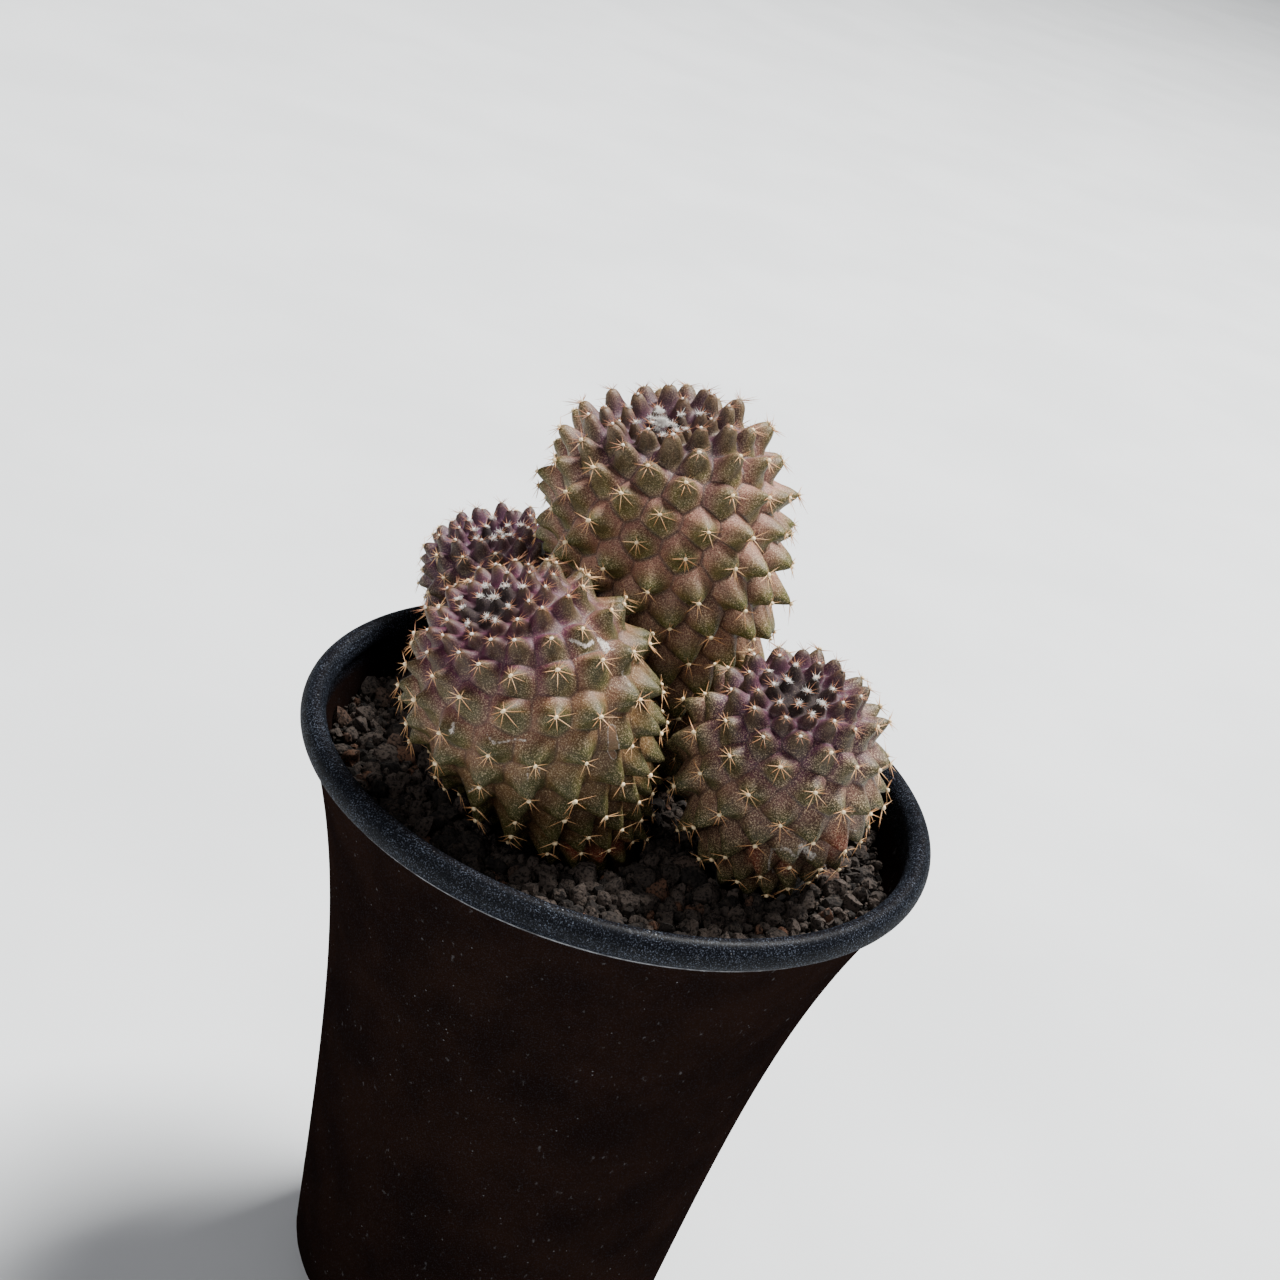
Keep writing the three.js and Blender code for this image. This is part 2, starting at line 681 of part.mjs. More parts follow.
const cactus = new THREE.Group();
cactus.add(mesh("pot", potGeometry(), material(0x17181b, 0.6)));
cactus.add(mesh("soil", soilGeometry(placed), material(0x26221f, 0.95)));
placed.forEach(({ stem, matrix }, i) => {
  const others = placed.filter((other) => other.stem !== stem);
  const skin = stemGeometry(stem, matrix, placed.slice(0, i), others);
  const piece = mesh(stem.name, skin, material(stem.color, 0.7));
  matrix.decompose(piece.position, piece.quaternion, piece.scale);
  cactus.add(piece);
});

export default cactus;
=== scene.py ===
# %% [markdown]
# # A clump of small cactus stems in a black pot
# Four stems of one small desert cactus stand in dark gravel in a flared plastic pot. Each stem is
# covered with tubercles, blunt bumps that carry a felted spot, the areole, and a star of spines.
# The solids come from the frame. Each one is replaced here by a finer mesh of the same form, made
# by the same rule, and then gets the finish of the real thing. Sizes are in millimetres until a
# mesh is made, because that is how a pot and a small plant are measured.

import json
import math

import bmesh
import bpy
import numpy as np
from mathutils import Matrix, Vector, noise

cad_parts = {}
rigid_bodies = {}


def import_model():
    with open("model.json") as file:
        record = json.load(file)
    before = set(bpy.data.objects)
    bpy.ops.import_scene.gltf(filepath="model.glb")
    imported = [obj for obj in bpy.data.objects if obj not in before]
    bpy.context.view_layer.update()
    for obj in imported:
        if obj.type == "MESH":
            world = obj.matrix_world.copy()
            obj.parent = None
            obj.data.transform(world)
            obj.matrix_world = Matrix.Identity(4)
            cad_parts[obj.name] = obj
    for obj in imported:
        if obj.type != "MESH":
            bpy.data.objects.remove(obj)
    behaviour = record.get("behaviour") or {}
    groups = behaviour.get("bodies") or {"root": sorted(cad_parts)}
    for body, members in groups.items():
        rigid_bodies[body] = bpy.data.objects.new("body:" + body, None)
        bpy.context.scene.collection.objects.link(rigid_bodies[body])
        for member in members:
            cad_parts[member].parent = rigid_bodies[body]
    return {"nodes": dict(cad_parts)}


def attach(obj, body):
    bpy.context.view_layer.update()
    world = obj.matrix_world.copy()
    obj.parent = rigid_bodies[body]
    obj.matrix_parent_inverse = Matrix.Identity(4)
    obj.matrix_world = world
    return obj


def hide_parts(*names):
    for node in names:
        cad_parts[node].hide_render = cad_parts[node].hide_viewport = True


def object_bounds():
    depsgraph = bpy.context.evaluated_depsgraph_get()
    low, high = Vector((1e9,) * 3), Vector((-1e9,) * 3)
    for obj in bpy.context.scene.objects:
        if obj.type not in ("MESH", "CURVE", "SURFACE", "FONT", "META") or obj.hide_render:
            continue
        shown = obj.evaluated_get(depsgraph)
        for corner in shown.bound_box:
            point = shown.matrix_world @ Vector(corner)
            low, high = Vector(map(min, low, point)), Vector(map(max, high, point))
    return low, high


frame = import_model()
frame_box = [list(corner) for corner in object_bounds()]
MM = 0.001
print("nodes:", sorted(frame["nodes"]))
print("box in mm:", [[round(value / MM, 1) for value in corner] for corner in frame_box])

# %% [markdown]
# ## Camera
# The photograph looks down on the pot from about 28 degrees, close up, with the camera rolled so
# that the pot leans. The place comes from the rim: its two ellipses and the pot's sides fix where
# the lens was, in relation to the middle of the bead. It is written as a distance in front, a
# height above the bead, and three small turns, which is easier to check than a matrix.

# %% Camera
RIM_HEIGHT = 110.0
CAMERA_DISTANCE = 313.8
CAMERA_ABOVE_RIM = 169.6
AIM_RIGHT = -0.0086
AIM_UP = 0.0570
ROLL = math.radians(17.24)
LENS = 61.875
SENSOR = 36.0

place = Vector((0, -CAMERA_DISTANCE, CAMERA_ABOVE_RIM))
ahead = -place.normalized()
right = ahead.cross(Vector((0, 0, 1))).normalized()
up = right.cross(ahead)
ahead = (ahead + AIM_RIGHT * right + AIM_UP * up).normalized()
right = ahead.cross(up).normalized()
up = right.cross(ahead)
rolled_right = math.cos(ROLL) * right + math.sin(ROLL) * up
rolled_up = math.cos(ROLL) * up - math.sin(ROLL) * right

lens = bpy.data.cameras.new("camera")
lens.lens = LENS
lens.sensor_width = SENSOR
lens.clip_start = 0.01
camera = bpy.data.objects.new("camera", lens)
bpy.context.scene.collection.objects.link(camera)
pose = Matrix((rolled_right, rolled_up, -ahead)).transposed().to_4x4()
pose.translation = (place + Vector((0, 0, RIM_HEIGHT))) * MM
camera.matrix_world = pose
bpy.context.scene.camera = camera
print("camera at", [round(value, 3) for value in pose.translation])

# %% [markdown]
# ## Shader maths
# A finish is easier to read as a sum than as a web of nodes. `Wire` wraps a socket so that plus,
# minus and times add Math nodes.


# %% Wires
class Wire:
    """A shader socket that takes part in sums."""

    def __init__(self, finish, socket):
        self.finish = finish
        self.socket = socket

    def maths(self, operation, left, right=None, clamp=False):
        settings = {"operation": operation, "use_clamp": clamp}
        return self.finish.node("ShaderNodeMath", settings, {0: left, 1: right})

    def __add__(self, other):
        return self.maths("ADD", self, other)

    def __sub__(self, other):
        return self.maths("SUBTRACT", self, other)

    def __rsub__(self, other):
        return self.maths("SUBTRACT", other, self)

    def __mul__(self, other):
        return self.maths("MULTIPLY", self, other)

    def clamped(self):
        return self.maths("ADD", self, 0.0, clamp=True)

    def between(self, low, high):
        """0 at low, 1 at high, with a soft start and end. low may be the larger one."""
        settings = {"interpolation_type": "SMOOTHSTEP"}
        return self.finish.node("ShaderNodeMapRange", settings, {0: self, 1: low, 2: high, 3: 0.0, 4: 1.0})

    __radd__ = __add__
    __rmul__ = __mul__


# %% [markdown]
# `Finish` holds one material with a single method that adds any other node, and a few short names
# for the nodes that come back most. Numbers that are the same all over the surface go straight on
# the shader. Every pattern reads the object's own coordinates, or values kept at the points.


# %% Finishes
class Finish:
    """A material with one principled shader."""

    def __init__(self, name, **constants):
        self.material = bpy.data.materials.new(name)
        self.material.use_nodes = True
        self.tree = self.material.node_tree
        self.shader = self.tree.nodes["Principled BSDF"]
        for socket, value in constants.items():
            self.shader.inputs[socket.replace("_", " ")].default_value = value
        self.place = self.node("ShaderNodeTexCoord", out="Object")

    def node(self, kind, settings=None, sockets=None, out=0):
        made = self.tree.nodes.new(kind)
        for setting, value in (settings or {}).items():
            setattr(made, setting, value)
        for key, value in (sockets or {}).items():
            if isinstance(value, Wire):
                self.tree.links.new(value.socket, made.inputs[key])
            elif value is not None:
                made.inputs[key].default_value = value
        return Wire(self, made.outputs[out])

    def attribute(self, name):
        return self.node("ShaderNodeAttribute", {"attribute_name": name}, out="Fac")

    def noise(self, size_mm, detail=2.0, roughness=0.5, vector=None):
        """Cloudy noise, 0 to 1, with blotches of about a given size."""
        sockets = {"Vector": vector or self.place, "Scale": 1 / (size_mm * MM)}
        sockets.update({"Detail": detail, "Roughness": roughness})
        return self.node("ShaderNodeTexNoise", {}, sockets)

    def cells(self, size_mm, randomness=1.0):
        """How far the nearest of many scattered points is, in shares of a given size."""
        sockets = {"Vector": self.place, "Scale": 1 / (size_mm * MM), "Randomness": randomness}
        return self.node("ShaderNodeTexVoronoi", {}, sockets)

    def stretched(self, x, y, z):
        return self.node("ShaderNodeMapping", {}, {"Vector": self.place, "Scale": (x, y, z)})

    def blend(self, factor, first, second):
        """The first colour where the factor is 0 and the second where it is 1. The Mix node has its
        colours at sockets 6 and 7 and gives the blend at output 2."""
        colours = [c if isinstance(c, Wire) else (*c, 1.0) for c in (first, second)]
        settings = {"data_type": "RGBA"}
        return self.node("ShaderNodeMix", settings, {0: factor, 6: colours[0], 7: colours[1]}, out=2)

    def feed(self, socket, wire):
        self.tree.links.new(wire.socket, self.shader.inputs[socket])

    def bump(self, height, depth_mm, strength):
        sockets = {"Height": height, "Distance": depth_mm * MM, "Strength": strength}
        return self.node("ShaderNodeBump", {}, sockets)


# %% [markdown]
# Colours are written as they are read off a screen, because that is how they are read off the
# photograph. A shader counts in amounts of light, so each colour is turned into those once, here.


# %% Colours
def shade(red, green, blue):
    """A colour as it is read off a screen, 0 to 255, as the shader's own numbers."""
    levels = [value / 255 for value in (red, green, blue)]
    return tuple(((c + 0.055) / 1.055) ** 2.4 if c > 10 / 255 else c / 12.92 for c in levels)


print("the middle grey of a screen is", round(shade(128, 128, 128)[0], 3), "in a shader")


# %% [markdown]
# ## Floor and light
# The pot stands on a plain pale floor under soft studio light. A broad panel high on the right is
# the main light, because the stems in the photograph are lit from above and a little from behind,
# and a large weak one in front, on the left, keeps the black pot from closing up.


# %% Floor and light
FLOOR_SIZE = 6.0
AIM_POINT = Vector((0, 0, 0.11))


def panel(name, location, size, watts, colour):
    """A square area light that faces the stems. Its place and size are in metres."""
    data = bpy.data.lights.new(name, "AREA")
    data.energy = watts
    data.size = size
    data.color = colour
    light = bpy.data.objects.new(name, data)
    light.location = location
    light.rotation_euler = (AIM_POINT - light.location).to_track_quat("-Z", "Y").to_euler()
    bpy.context.scene.collection.objects.link(light)


panel("light_high", Vector((0.75, 0.75, 2.3)), size=0.9, watts=190.0, colour=(1.0, 0.985, 0.95))
panel("light_front", Vector((-0.9, -1.9, 1.3)), size=1.4, watts=20.0, colour=(1.0, 0.98, 0.96))

world = bpy.data.worlds.new("studio")
world.use_nodes = True
sky = world.node_tree.nodes["Background"].inputs
sky["Color"].default_value = (0.94, 0.94, 1.0, 1.0)
sky["Strength"].default_value = 0.18
bpy.context.scene.world = world

half = FLOOR_SIZE / 2
floor_corners = [(-half, -half, 0), (half, -half, 0), (half, half, 0), (-half, half, 0)]
floor_mesh = bpy.data.meshes.new("floor")
floor_mesh.from_pydata(floor_corners, [], [(0, 1, 2, 3)])
floor = bpy.data.objects.new("floor", floor_mesh)
bpy.context.scene.collection.objects.link(floor)
floor_finish = Finish("floor_paint", Roughness=0.75)
floor_tone = floor_finish.noise(90.0, detail=3.0).between(0.3, 0.7)
floor_colour = floor_finish.blend(floor_tone, shade(224, 228, 232), shade(232, 236, 240))
floor_finish.feed("Base Color", floor_colour)
floor_mesh.materials.append(floor_finish.material)

# %% [markdown]
# ## From numbers to a piece
# Every mesh below is made as a list of points in millimetres and a list of faces.


# %% Pieces
def make_piece(name, points, faces, values=None):
    """A smooth piece from points in mm and faces, with a value for each point where one is given."""
    mesh = bpy.data.meshes.new(name)
    mesh.from_pydata((np.asarray(points) * MM).tolist(), [], [list(map(int, face)) for face in faces])
    for key, numbers in (values or {}).items():
        attribute = mesh.attributes.new(key, "FLOAT", "POINT")
        attribute.data.foreach_set("value", np.asarray(numbers, dtype=np.float32))
    mesh.validate()
    mesh.shade_smooth()
    piece = bpy.data.objects.new(name, mesh)
    bpy.context.scene.collection.objects.link(piece)
    return piece


def declare(piece, slot, node=None):
    """Puts a piece on the frame's root body and hides the node that it stands for. The slot, which
    names its finish, is not used.
    """
    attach(piece, "root")
    if node:
        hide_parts(node)
    triangles = sum(len(polygon.vertices) - 2 for polygon in piece.data.polygons)
    print(piece.name, triangles, "triangles")


# %% [markdown]
# ## The pot
# The pot is an injection-moulded shell, round, with a straight taper that flares near the top and
# a rolled bead round the mouth. It is turned from its outline, as the frame's pot is, but with
# many more sides, so that the bead is a smooth curve. The outline runs from the hole in the middle
# of the floor outwards, up the outer wall, over the bead and down the inside. The small step under
# the bead is in the outline too, because it shows at the edge.

# %% The pot's outline
RIM_RADIUS = 52.3
BEAD_WIDTH = 4.0
BEAD_HEIGHT = 5.0
WALL = 1.2
WALL_FOOT_RADIUS = 31.7
WALL_TAPER = 0.09
WALL_FLARE = 9.6
WALL_FLARE_POWER = 4.1
CORNER_RADIUS = 8.0
FOOT_RING = 19.5
FOOT_RECESS = 1.5
DRAIN_RADIUS = 5.0
SIDE_DRAIN_RADIUS = 3.5
SIDE_DRAIN_CIRCLE = 12.8
SIDE_DRAINS = 6
POT_SIDES = 180
STEP_DROP = 0.62


def wall_radius(height):
    """Outer radius of the wall at a height."""
    return WALL_FOOT_RADIUS + WALL_TAPER * height + WALL_FLARE * (height / RIM_HEIGHT) ** WALL_FLARE_POWER


def arc(centre, half_width, half_height, start, end, steps):
    """Points on an ellipse, from one angle to another in degrees."""
    angles = np.radians(np.linspace(start, end, steps + 1))
    return [(centre[0] + half_width * math.cos(a), centre[1] + half_height * math.sin(a)) for a in angles]


def pot_outline():
    """Radius and height along a closed loop round the wall's section."""
    corner = (wall_radius(CORNER_RADIUS) - CORNER_RADIUS, CORNER_RADIUS)
    bead = (RIM_RADIUS - BEAD_WIDTH / 2, RIM_HEIGHT)
    step = RIM_HEIGHT - STEP_DROP * BEAD_HEIGHT
    floor_top = FOOT_RECESS + WALL
    outside = [(wall_radius(z), z) for z in [*np.linspace(CORNER_RADIUS + 3, step - 1.2, 40), step - 0.15]]
    inside = [(wall_radius(z) - WALL, z) for z in np.linspace(RIM_HEIGHT - 4, 2 * CORNER_RADIUS, 24)]
    recess = [(DRAIN_RADIUS, FOOT_RECESS), (FOOT_RING - 2, FOOT_RECESS), (FOOT_RING - 1, FOOT_RECESS * 0.8)]
    lip = [(wall_radius(step) + 0.55, step + 0.1), (wall_radius(step) + 0.7, step + 0.35)]
    return [
        *recess,
        (FOOT_RING, 0.15),
        (FOOT_RING + 0.5, 0.0),
        *arc(corner, CORNER_RADIUS, CORNER_RADIUS, -90, 0, 10),
        *outside,
        *lip,
        *arc(bead, BEAD_WIDTH / 2, BEAD_HEIGHT / 2, -62, 215, 26),
        *inside,
        *arc((corner[0], floor_top + 5), corner[0] / 5, 5, 0, -60, 4),
        (corner[0] * 0.8, floor_top),
        (DRAIN_RADIUS, floor_top),
    ]


print("mouth", 2 * RIM_RADIUS, "mm, height", RIM_HEIGHT + BEAD_HEIGHT / 2, "mm")

# %% [markdown]
# An outline becomes a round body when copies of it stand in a circle and faces join each to the
# next. The Screw modifier does that too, but with plain lists the number of every point is known,
# so that each can be given a value of its own.


# %% Sweep an outline
def swept(outline, sides):
    """Points of an outline of radius and height, swept round Z ring by ring."""
    angles = np.arange(sides) * 2 * math.pi / sides
    return [(r * math.cos(a), r * math.sin(a), z) for r, z in outline for a in angles]


def band(low, high, sides):
    """Faces between two rings of points, each given by the number of its first point."""
    return [(low + k, low + (k + 1) % sides, high + (k + 1) % sides, high + k) for k in range(sides)]


def turned_grid(outline, sides):
    """Points and faces of an outline swept round Z. The outline is a closed loop."""
    count = len(outline)
    faces = []
    for row in range(count):
        faces += band(row * sides, (row + 1) % count * sides, sides)
    return swept(outline, sides), faces


print("faces of a band with 3 sides:", band(0, 3, 3))

# %% [markdown]
# The six small drain holes round the middle one are not on the axis, so they can't be turned. They
# are cut with plain cylinders by a Boolean modifier, whose result is kept as a plain mesh.


# %% Cut with other bodies
def settle(piece):
    """Replaces a piece's mesh by what its modifiers make of it, and removes them."""
    graph = bpy.context.evaluated_depsgraph_get()
    made = piece.evaluated_get(graph)
    mesh = bpy.data.meshes.new_from_object(made, preserve_all_data_layers=True, depsgraph=graph)
    piece.modifiers.clear()
    piece.data = mesh
    mesh.name = piece.name


def cut(piece, cutters):
    """Takes the cutters' bodies out of a piece and keeps the result as a plain mesh."""
    modifier = piece.modifiers.new("cut", "BOOLEAN")
    modifier.operation = "DIFFERENCE"
    modifier.solver = "EXACT"
    modifier.object = cutters
    settle(piece)
    bpy.data.objects.remove(cutters)


def cylinders(name, spots, radius, low, high, sides=24):
    """Upright cylinders, one at each spot, in one piece."""
    turns = np.arange(sides) * 2 * math.pi / sides
    points, faces = [], []
    for x, y in spots:
        first = len(points)
        ring = [(x + radius * math.cos(a), y + radius * math.sin(a)) for a in turns]
        points += [(u, v, z) for z in (low, high) for u, v in ring]
        under = range(first, first + sides)
        over = range(first + sides, first + 2 * sides)
        faces += [tuple(reversed(under)), tuple(over), *band(first, first + sides, sides)]
    return make_piece(name, points, faces)


turns = (np.arange(SIDE_DRAINS) + 0.5) * 2 * math.pi / SIDE_DRAINS
spots = [(SIDE_DRAIN_CIRCLE * math.cos(turn), SIDE_DRAIN_CIRCLE * math.sin(turn)) for turn in turns]
drills = cylinders("drills", spots, SIDE_DRAIN_RADIUS, -1.0, 6.0)
print("drills:", len(spots), "of", len(drills.data.vertices) // len(spots), "points")

# %% [markdown]
# The pot is one closed grid. Two values go along with every ring: how much it belongs to the bead,
# and whether it is at the seam under the bead, which is worn pale on the real pot.

# %% Turn the pot and drill its floor
BEAD_REACH = 2.9
BEAD_FADE = 0.5
SEAM_DROP = 0.57
SEAM_REACH = 0.2

outline_points = pot_outline()
pot_points, pot_faces = turned_grid(outline_points, POT_SIDES)
heights = np.repeat([z for _, z in outline_points], POT_SIDES)
radii = np.repeat([r for r, _ in outline_points], POT_SIDES)
from_bead = np.hypot(radii - RIM_RADIUS + BEAD_WIDTH / 2, heights - RIM_HEIGHT)
bead_share = np.clip((BEAD_REACH - from_bead) / BEAD_FADE, 0, 1)
from_seam = np.abs(heights - RIM_HEIGHT + SEAM_DROP * BEAD_HEIGHT)
seam = (from_seam < SEAM_REACH) & (radii > wall_radius(RIM_HEIGHT) - BEAD_WIDTH)
pot = make_piece("pot_shell", pot_points, pot_faces, {"bead": bead_share, "seam": seam})
cut(pot, drills)
print("pot of", len(outline_points), "rings with", len(spots), "drain holes round the middle one")

# %% [markdown]
# Black plastic is not quite black: the body is matt, with a brown cast painted in blotches as the
# reflection of a warm surround, a fine moulded grain, pale specks of dust and faint scuffs, and the
# bead is bluer, peppered in patches with pale painted glints, small highlights of its grain. The
# grain is a bump far too small for geometry. The pale line at the seam under the bead is broken by
# noise.

# %% Pot finish
plastic = Finish("pot_plastic", Specular_IOR_Level=0.0, Coat_Roughness=0.45)
bead = plastic.attribute("bead").clamped()
# Painted reflection: the mottled brown cast of the body is the reflection of a warm surround.
reflected_brown_mottle = plastic.noise(14.0, detail=5.0, roughness=0.6).between(0.3, 0.7)
body_colour = plastic.blend(reflected_brown_mottle, shade(18, 11, 9), shade(27, 17, 13))
body_colour = plastic.blend(bead, body_colour, shade(9, 11, 16))
grain = plastic.noise(0.42, detail=3.0, roughness=0.6)
# Painted highlight: pale glints of the grain, in patches on the bead and faintly on the body.
glints = plastic.noise(0.24, detail=2.0, roughness=0.7).between(0.52, 0.68)
glint_patches = plastic.noise(5.0, detail=3.0).between(0.3, 0.65)
body_colour = plastic.blend(glints * (bead * (0.25 + glint_patches * 0.45) + 0.05), body_colour, shade(100, 108, 124))
dust_spots = plastic.cells(1.7).between(0.1, 0.04) * plastic.noise(7.0, detail=3.0).between(0.52, 0.62)
scuffs = plastic.noise(1.0, detail=5.0, vector=plastic.stretched(1.0, 1.0, 0.6)).between(0.66, 0.76)
line = plastic.attribute("seam") * (0.35 + plastic.noise(3.2, detail=5.0, roughness=0.65).between(0.4, 0.65))
dust = (dust_spots * (0.3 + bead * 0.5) + scuffs * 0.12 + line * 0.5).clamped()
plastic.feed("Base Color", plastic.blend(dust, body_colour, shade(150, 152, 156)))
plastic.feed("Coat Weight", bead * 0.3 * grain)
plastic.feed("Roughness", 0.6 - bead * 0.1 + dust * 0.3 + grain * 0.08)
plastic.feed("Normal", plastic.bump(grain + glints * bead + dust * 0.4, 0.14, strength=0.7))
pot.data.materials.clear()
pot.data.materials.append(plastic.material)
pot.data.shade_smooth()
declare(pot, "pot_plastic", "pot")

# %% [markdown]
# ## The stems' form
# Every stem is a surface of revolution, wide above the middle and narrow at the gravel, with its
# areoles set in golden-angle order from the crown down. Every point on the outline gets its
# distance from the crown and a conformal latitude, so that the stem can be thought of as a
# sphere: a convex hull over the areoles there then tells which are neighbours.

# %% The four stems
SOIL_LEVEL = 103.5
GOLDEN_ANGLE = math.pi * (3 - math.sqrt(5))
FIRST_AREOLE = 0.6
JITTER = 0.04
SKIN_FOOT = -0.04
NECK_FOOT = -0.15
TAPER_POWER = 1.6
ROOT_LENGTH = 12.0
ROOT_TIP_SHARE = 0.6
PRESS_GAP = 0.6
NUDGE = 0.1
HANG_SHARES = (0.55, 0.85)
DIP_SHARES = (0.12, 0.55)

# Lengths are in mm and lean is in degrees. What comes in threes is for the crown, belly and foot.
# height, radius, widest, roundness and foot_share give the outline, and dip the hollow of the
# crown. spacing is the width of a cell, which is full at growth times the radius from the crown.
# rise, pillow, nose, blunt, keel and flatness give the form of a tubercle, and fingers makes it
# longer at the crown. fade is where crown turns to flank, and matted counts the loose tufts.
STEMS = [
    dict(
        name="tall", foot=(7.9, 18.8), lean=(-16.3, -5.2), height=66.6, radius=21.2, widest=0.65,
        roundness=2.7, foot_share=0.4, dip=4.5, spacing=(3.3, 7.0, 6.6), growth=0.9, seed=11,
        rise=(0.62, 0.56, 0.5), pillow=(0.12, 0.24, 0.28), nose=(0.6, 0.56, 0.55),
        blunt=(4.0, 2.0, 2.0), keel=1.0, flatness=3.0, fingers=0.08, fade=(0.45, 1.2), matted=20,
    ),
    dict(
        name="front_left", foot=(0.1, -11.7), lean=(-33.4, -17.7), height=50.9, radius=20.0, widest=0.62,
        roundness=1.85, foot_share=0.42, dip=2.4, spacing=(3.1, 7.6, 5.0), growth=1.35, seed=23,
        rise=(0.56, 0.42, 0.5), pillow=(0.2, 0.14, 0.18), nose=(0.62, 0.53, 0.53),
        blunt=(3.6, 1.9, 1.9), keel=0.5, flatness=2.0, fingers=0.0, fade=(0.3, 0.95), matted=0,
    ),
    dict(
        name="front_right", foot=(25.0, -3.6), lean=(-4.5, -17.0), height=40.3, radius=17.6, widest=0.5,
        roundness=2.1, foot_share=0.52, dip=2.6, spacing=(3.0, 6.8, 6.0), growth=1.1, seed=37,
        rise=(0.56, 0.5, 0.5), pillow=(0.2, 0.2, 0.22), nose=(0.62, 0.54, 0.54),
        blunt=(3.8, 1.8, 1.9), keel=0.75, flatness=2.3, fingers=0.1, fade=(0.35, 1.0), matted=0,
    ),
    dict(
        name="back_left", foot=(-23.5, 26.2), lean=(-16.0, -5.2), height=32.4, radius=13.4, widest=0.67,
        roundness=2.75, foot_share=0.46, dip=2.2, spacing=(2.6, 5.2, 5.0), growth=1.0, seed=41,
        rise=(0.6, 0.52, 0.5), pillow=(0.2, 0.28, 0.3), nose=(0.62, 0.56, 0.56),
        blunt=(4.2, 2.2, 2.2), keel=1.0, flatness=3.0, fingers=0.15, fade=(0.4, 1.2), matted=0,
    ),
]


# %% [markdown]
# The outline of a stem gives its radius at a share of its height. It runs over the tips of the
# tubercles, rounded above the widest place and tapering below it. A matrix leans the stem and sets
# its foot in the gravel. How far each areole strays from the rule comes from a row of random
# numbers that is the same on every run.


# %% Outline and place of a stem
def smooth(value, low, high):
    """0 at low, 1 at high, with a soft start and end. low may be the larger one."""
    t = np.clip((np.asarray(value, dtype=float) - low) / (high - low), 0, 1)
    return t * t * (3 - 2 * t)


def mix(first, second, share):
    return first + (second - first) * share


def seeded(seed):
    """Random numbers between -1 and 1, the same on every run."""
    state = seed
    while True:
        state = state * 48271 % 2147483647
        yield 2 * state / 2147483647 - 1


def envelope(stem, share):
    """Radius over the tips at a share of the stem's height."""
    share = np.asarray(share, dtype=float)
    up = np.clip((share - stem["widest"]) / (1 - stem["widest"]), 0, 1)
    down = np.clip((stem["widest"] - share) / stem["widest"], 0, None)
    above = (1 - up ** stem["roundness"]) ** (1 / stem["roundness"])
    below = 1 - (1 - stem["foot_share"]) * down**TAPER_POWER
    return stem["radius"] * np.where(share > stem["widest"], above, below)


def placement(stem):
    """The matrix that leans a stem and sets its foot in the pot."""
    axis = Vector([math.tan(math.radians(angle)) for angle in stem["lean"]] + [1.0]).normalized()
    turn = Vector((0, 0, 1)).rotation_difference(axis).to_matrix().to_4x4()
    return np.array(Matrix.Translation((*stem["foot"], SOIL_LEVEL)) @ turn)


def carried(matrix, points):
    """Points moved and turned by a matrix."""
    return points @ matrix[:3, :3].T + matrix[:3, 3]


print("radius of each stem at the gravel:", [round(float(envelope(stem, 0)), 1) for stem in STEMS])

# %% [markdown]
# The outline is walked in small steps, and what is found is kept as a table. The latitude grows
# with each step divided by the radius there, so a small patch of the stem keeps its shape on the
# sphere. Anything between two steps is read off the table.


# %% Walk the outline
def walk(stem, steps=240):
    """The outline as a table, with distance s, latitude m, the outward direction (out, rise) and
    the scale of the sphere at that latitude."""
    half = np.arange(steps + 1) * 2 / steps
    above = mix(stem["widest"], 1.0, np.cos(np.minimum(half, 1) * math.pi / 2))
    below = mix(stem["widest"], NECK_FOOT, np.clip(half - 1, 0, None))
    share = np.where(half <= 1, above, below)
    radius, height = envelope(stem, share), share * stem["height"]
    step = np.hypot(np.diff(radius), np.diff(height))
    s = np.concatenate([[0], np.cumsum(step)])
    growth = 2 * step / (radius[1:] + radius[:-1])
    m = np.concatenate([[-3, 0], np.cumsum(growth[1:])])
    out = np.concatenate([[0], -np.diff(height) / step])
    rise = np.concatenate([[1], np.diff(radius) / step])
    middle = m[steps // 2]
    scale = radius / np.sin(2 * np.arctan(np.exp(m - middle)))
    scale[0] = scale[1]
    return dict(
        share=share, radius=radius, height=height, s=s, m=m, out=out, rise=rise, scale=scale, middle=middle
    )


def stations(table, key, value):
    """The row of the table at a given s or m, for one value or an array of them."""
    names = ("share", "radius", "height", "s", "m", "out", "rise", "scale")
    return {name: np.interp(value, table[key], table[name]) for name in names}


def along(stem, values, at):
    """A value given at the crown, belly and foot, between them."""
    crown, belly, foot = values
    upper = mix(crown, belly, smooth(at["s"], 0, stem["growth"] * stem["radius"]))
    return mix(upper, foot, smooth(stem["widest"] - at["share"], 0, stem["widest"]))


def surface(stem, at, angle, depth):
    """Points on the stem, sunk below its outline by a depth."""
    inner, outer = (share * stem["radius"] for share in DIP_SHARES)
    dip = stem["dip"] * (1 - smooth(at["radius"], inner, outer))
    radius = np.maximum(at["radius"] - depth * at["out"], 0)
    height = at["height"] - depth * at["rise"] - np.where(at["share"] > stem["widest"], dip, 0)
    return np.stack([radius * np.cos(angle), radius * np.sin(angle), height], axis=-1)


print("the tall stem's outline is", round(walk(STEMS[0])["s"][-1], 1), "mm long")

# %% [markdown]
# The areoles are set one after another, as they grew, each turned on by the golden angle and as far
# down as leaves it a cell of its own. This gives the crossing spirals of the real stem, which rows
# drawn by hand would miss.


# %% Places of the areoles
def hanging(share):
    """1 on the flank, where a tubercle hangs below the middle of its cell, and 0 at the crown."""
    return 1 - smooth(share, *HANG_SHARES)


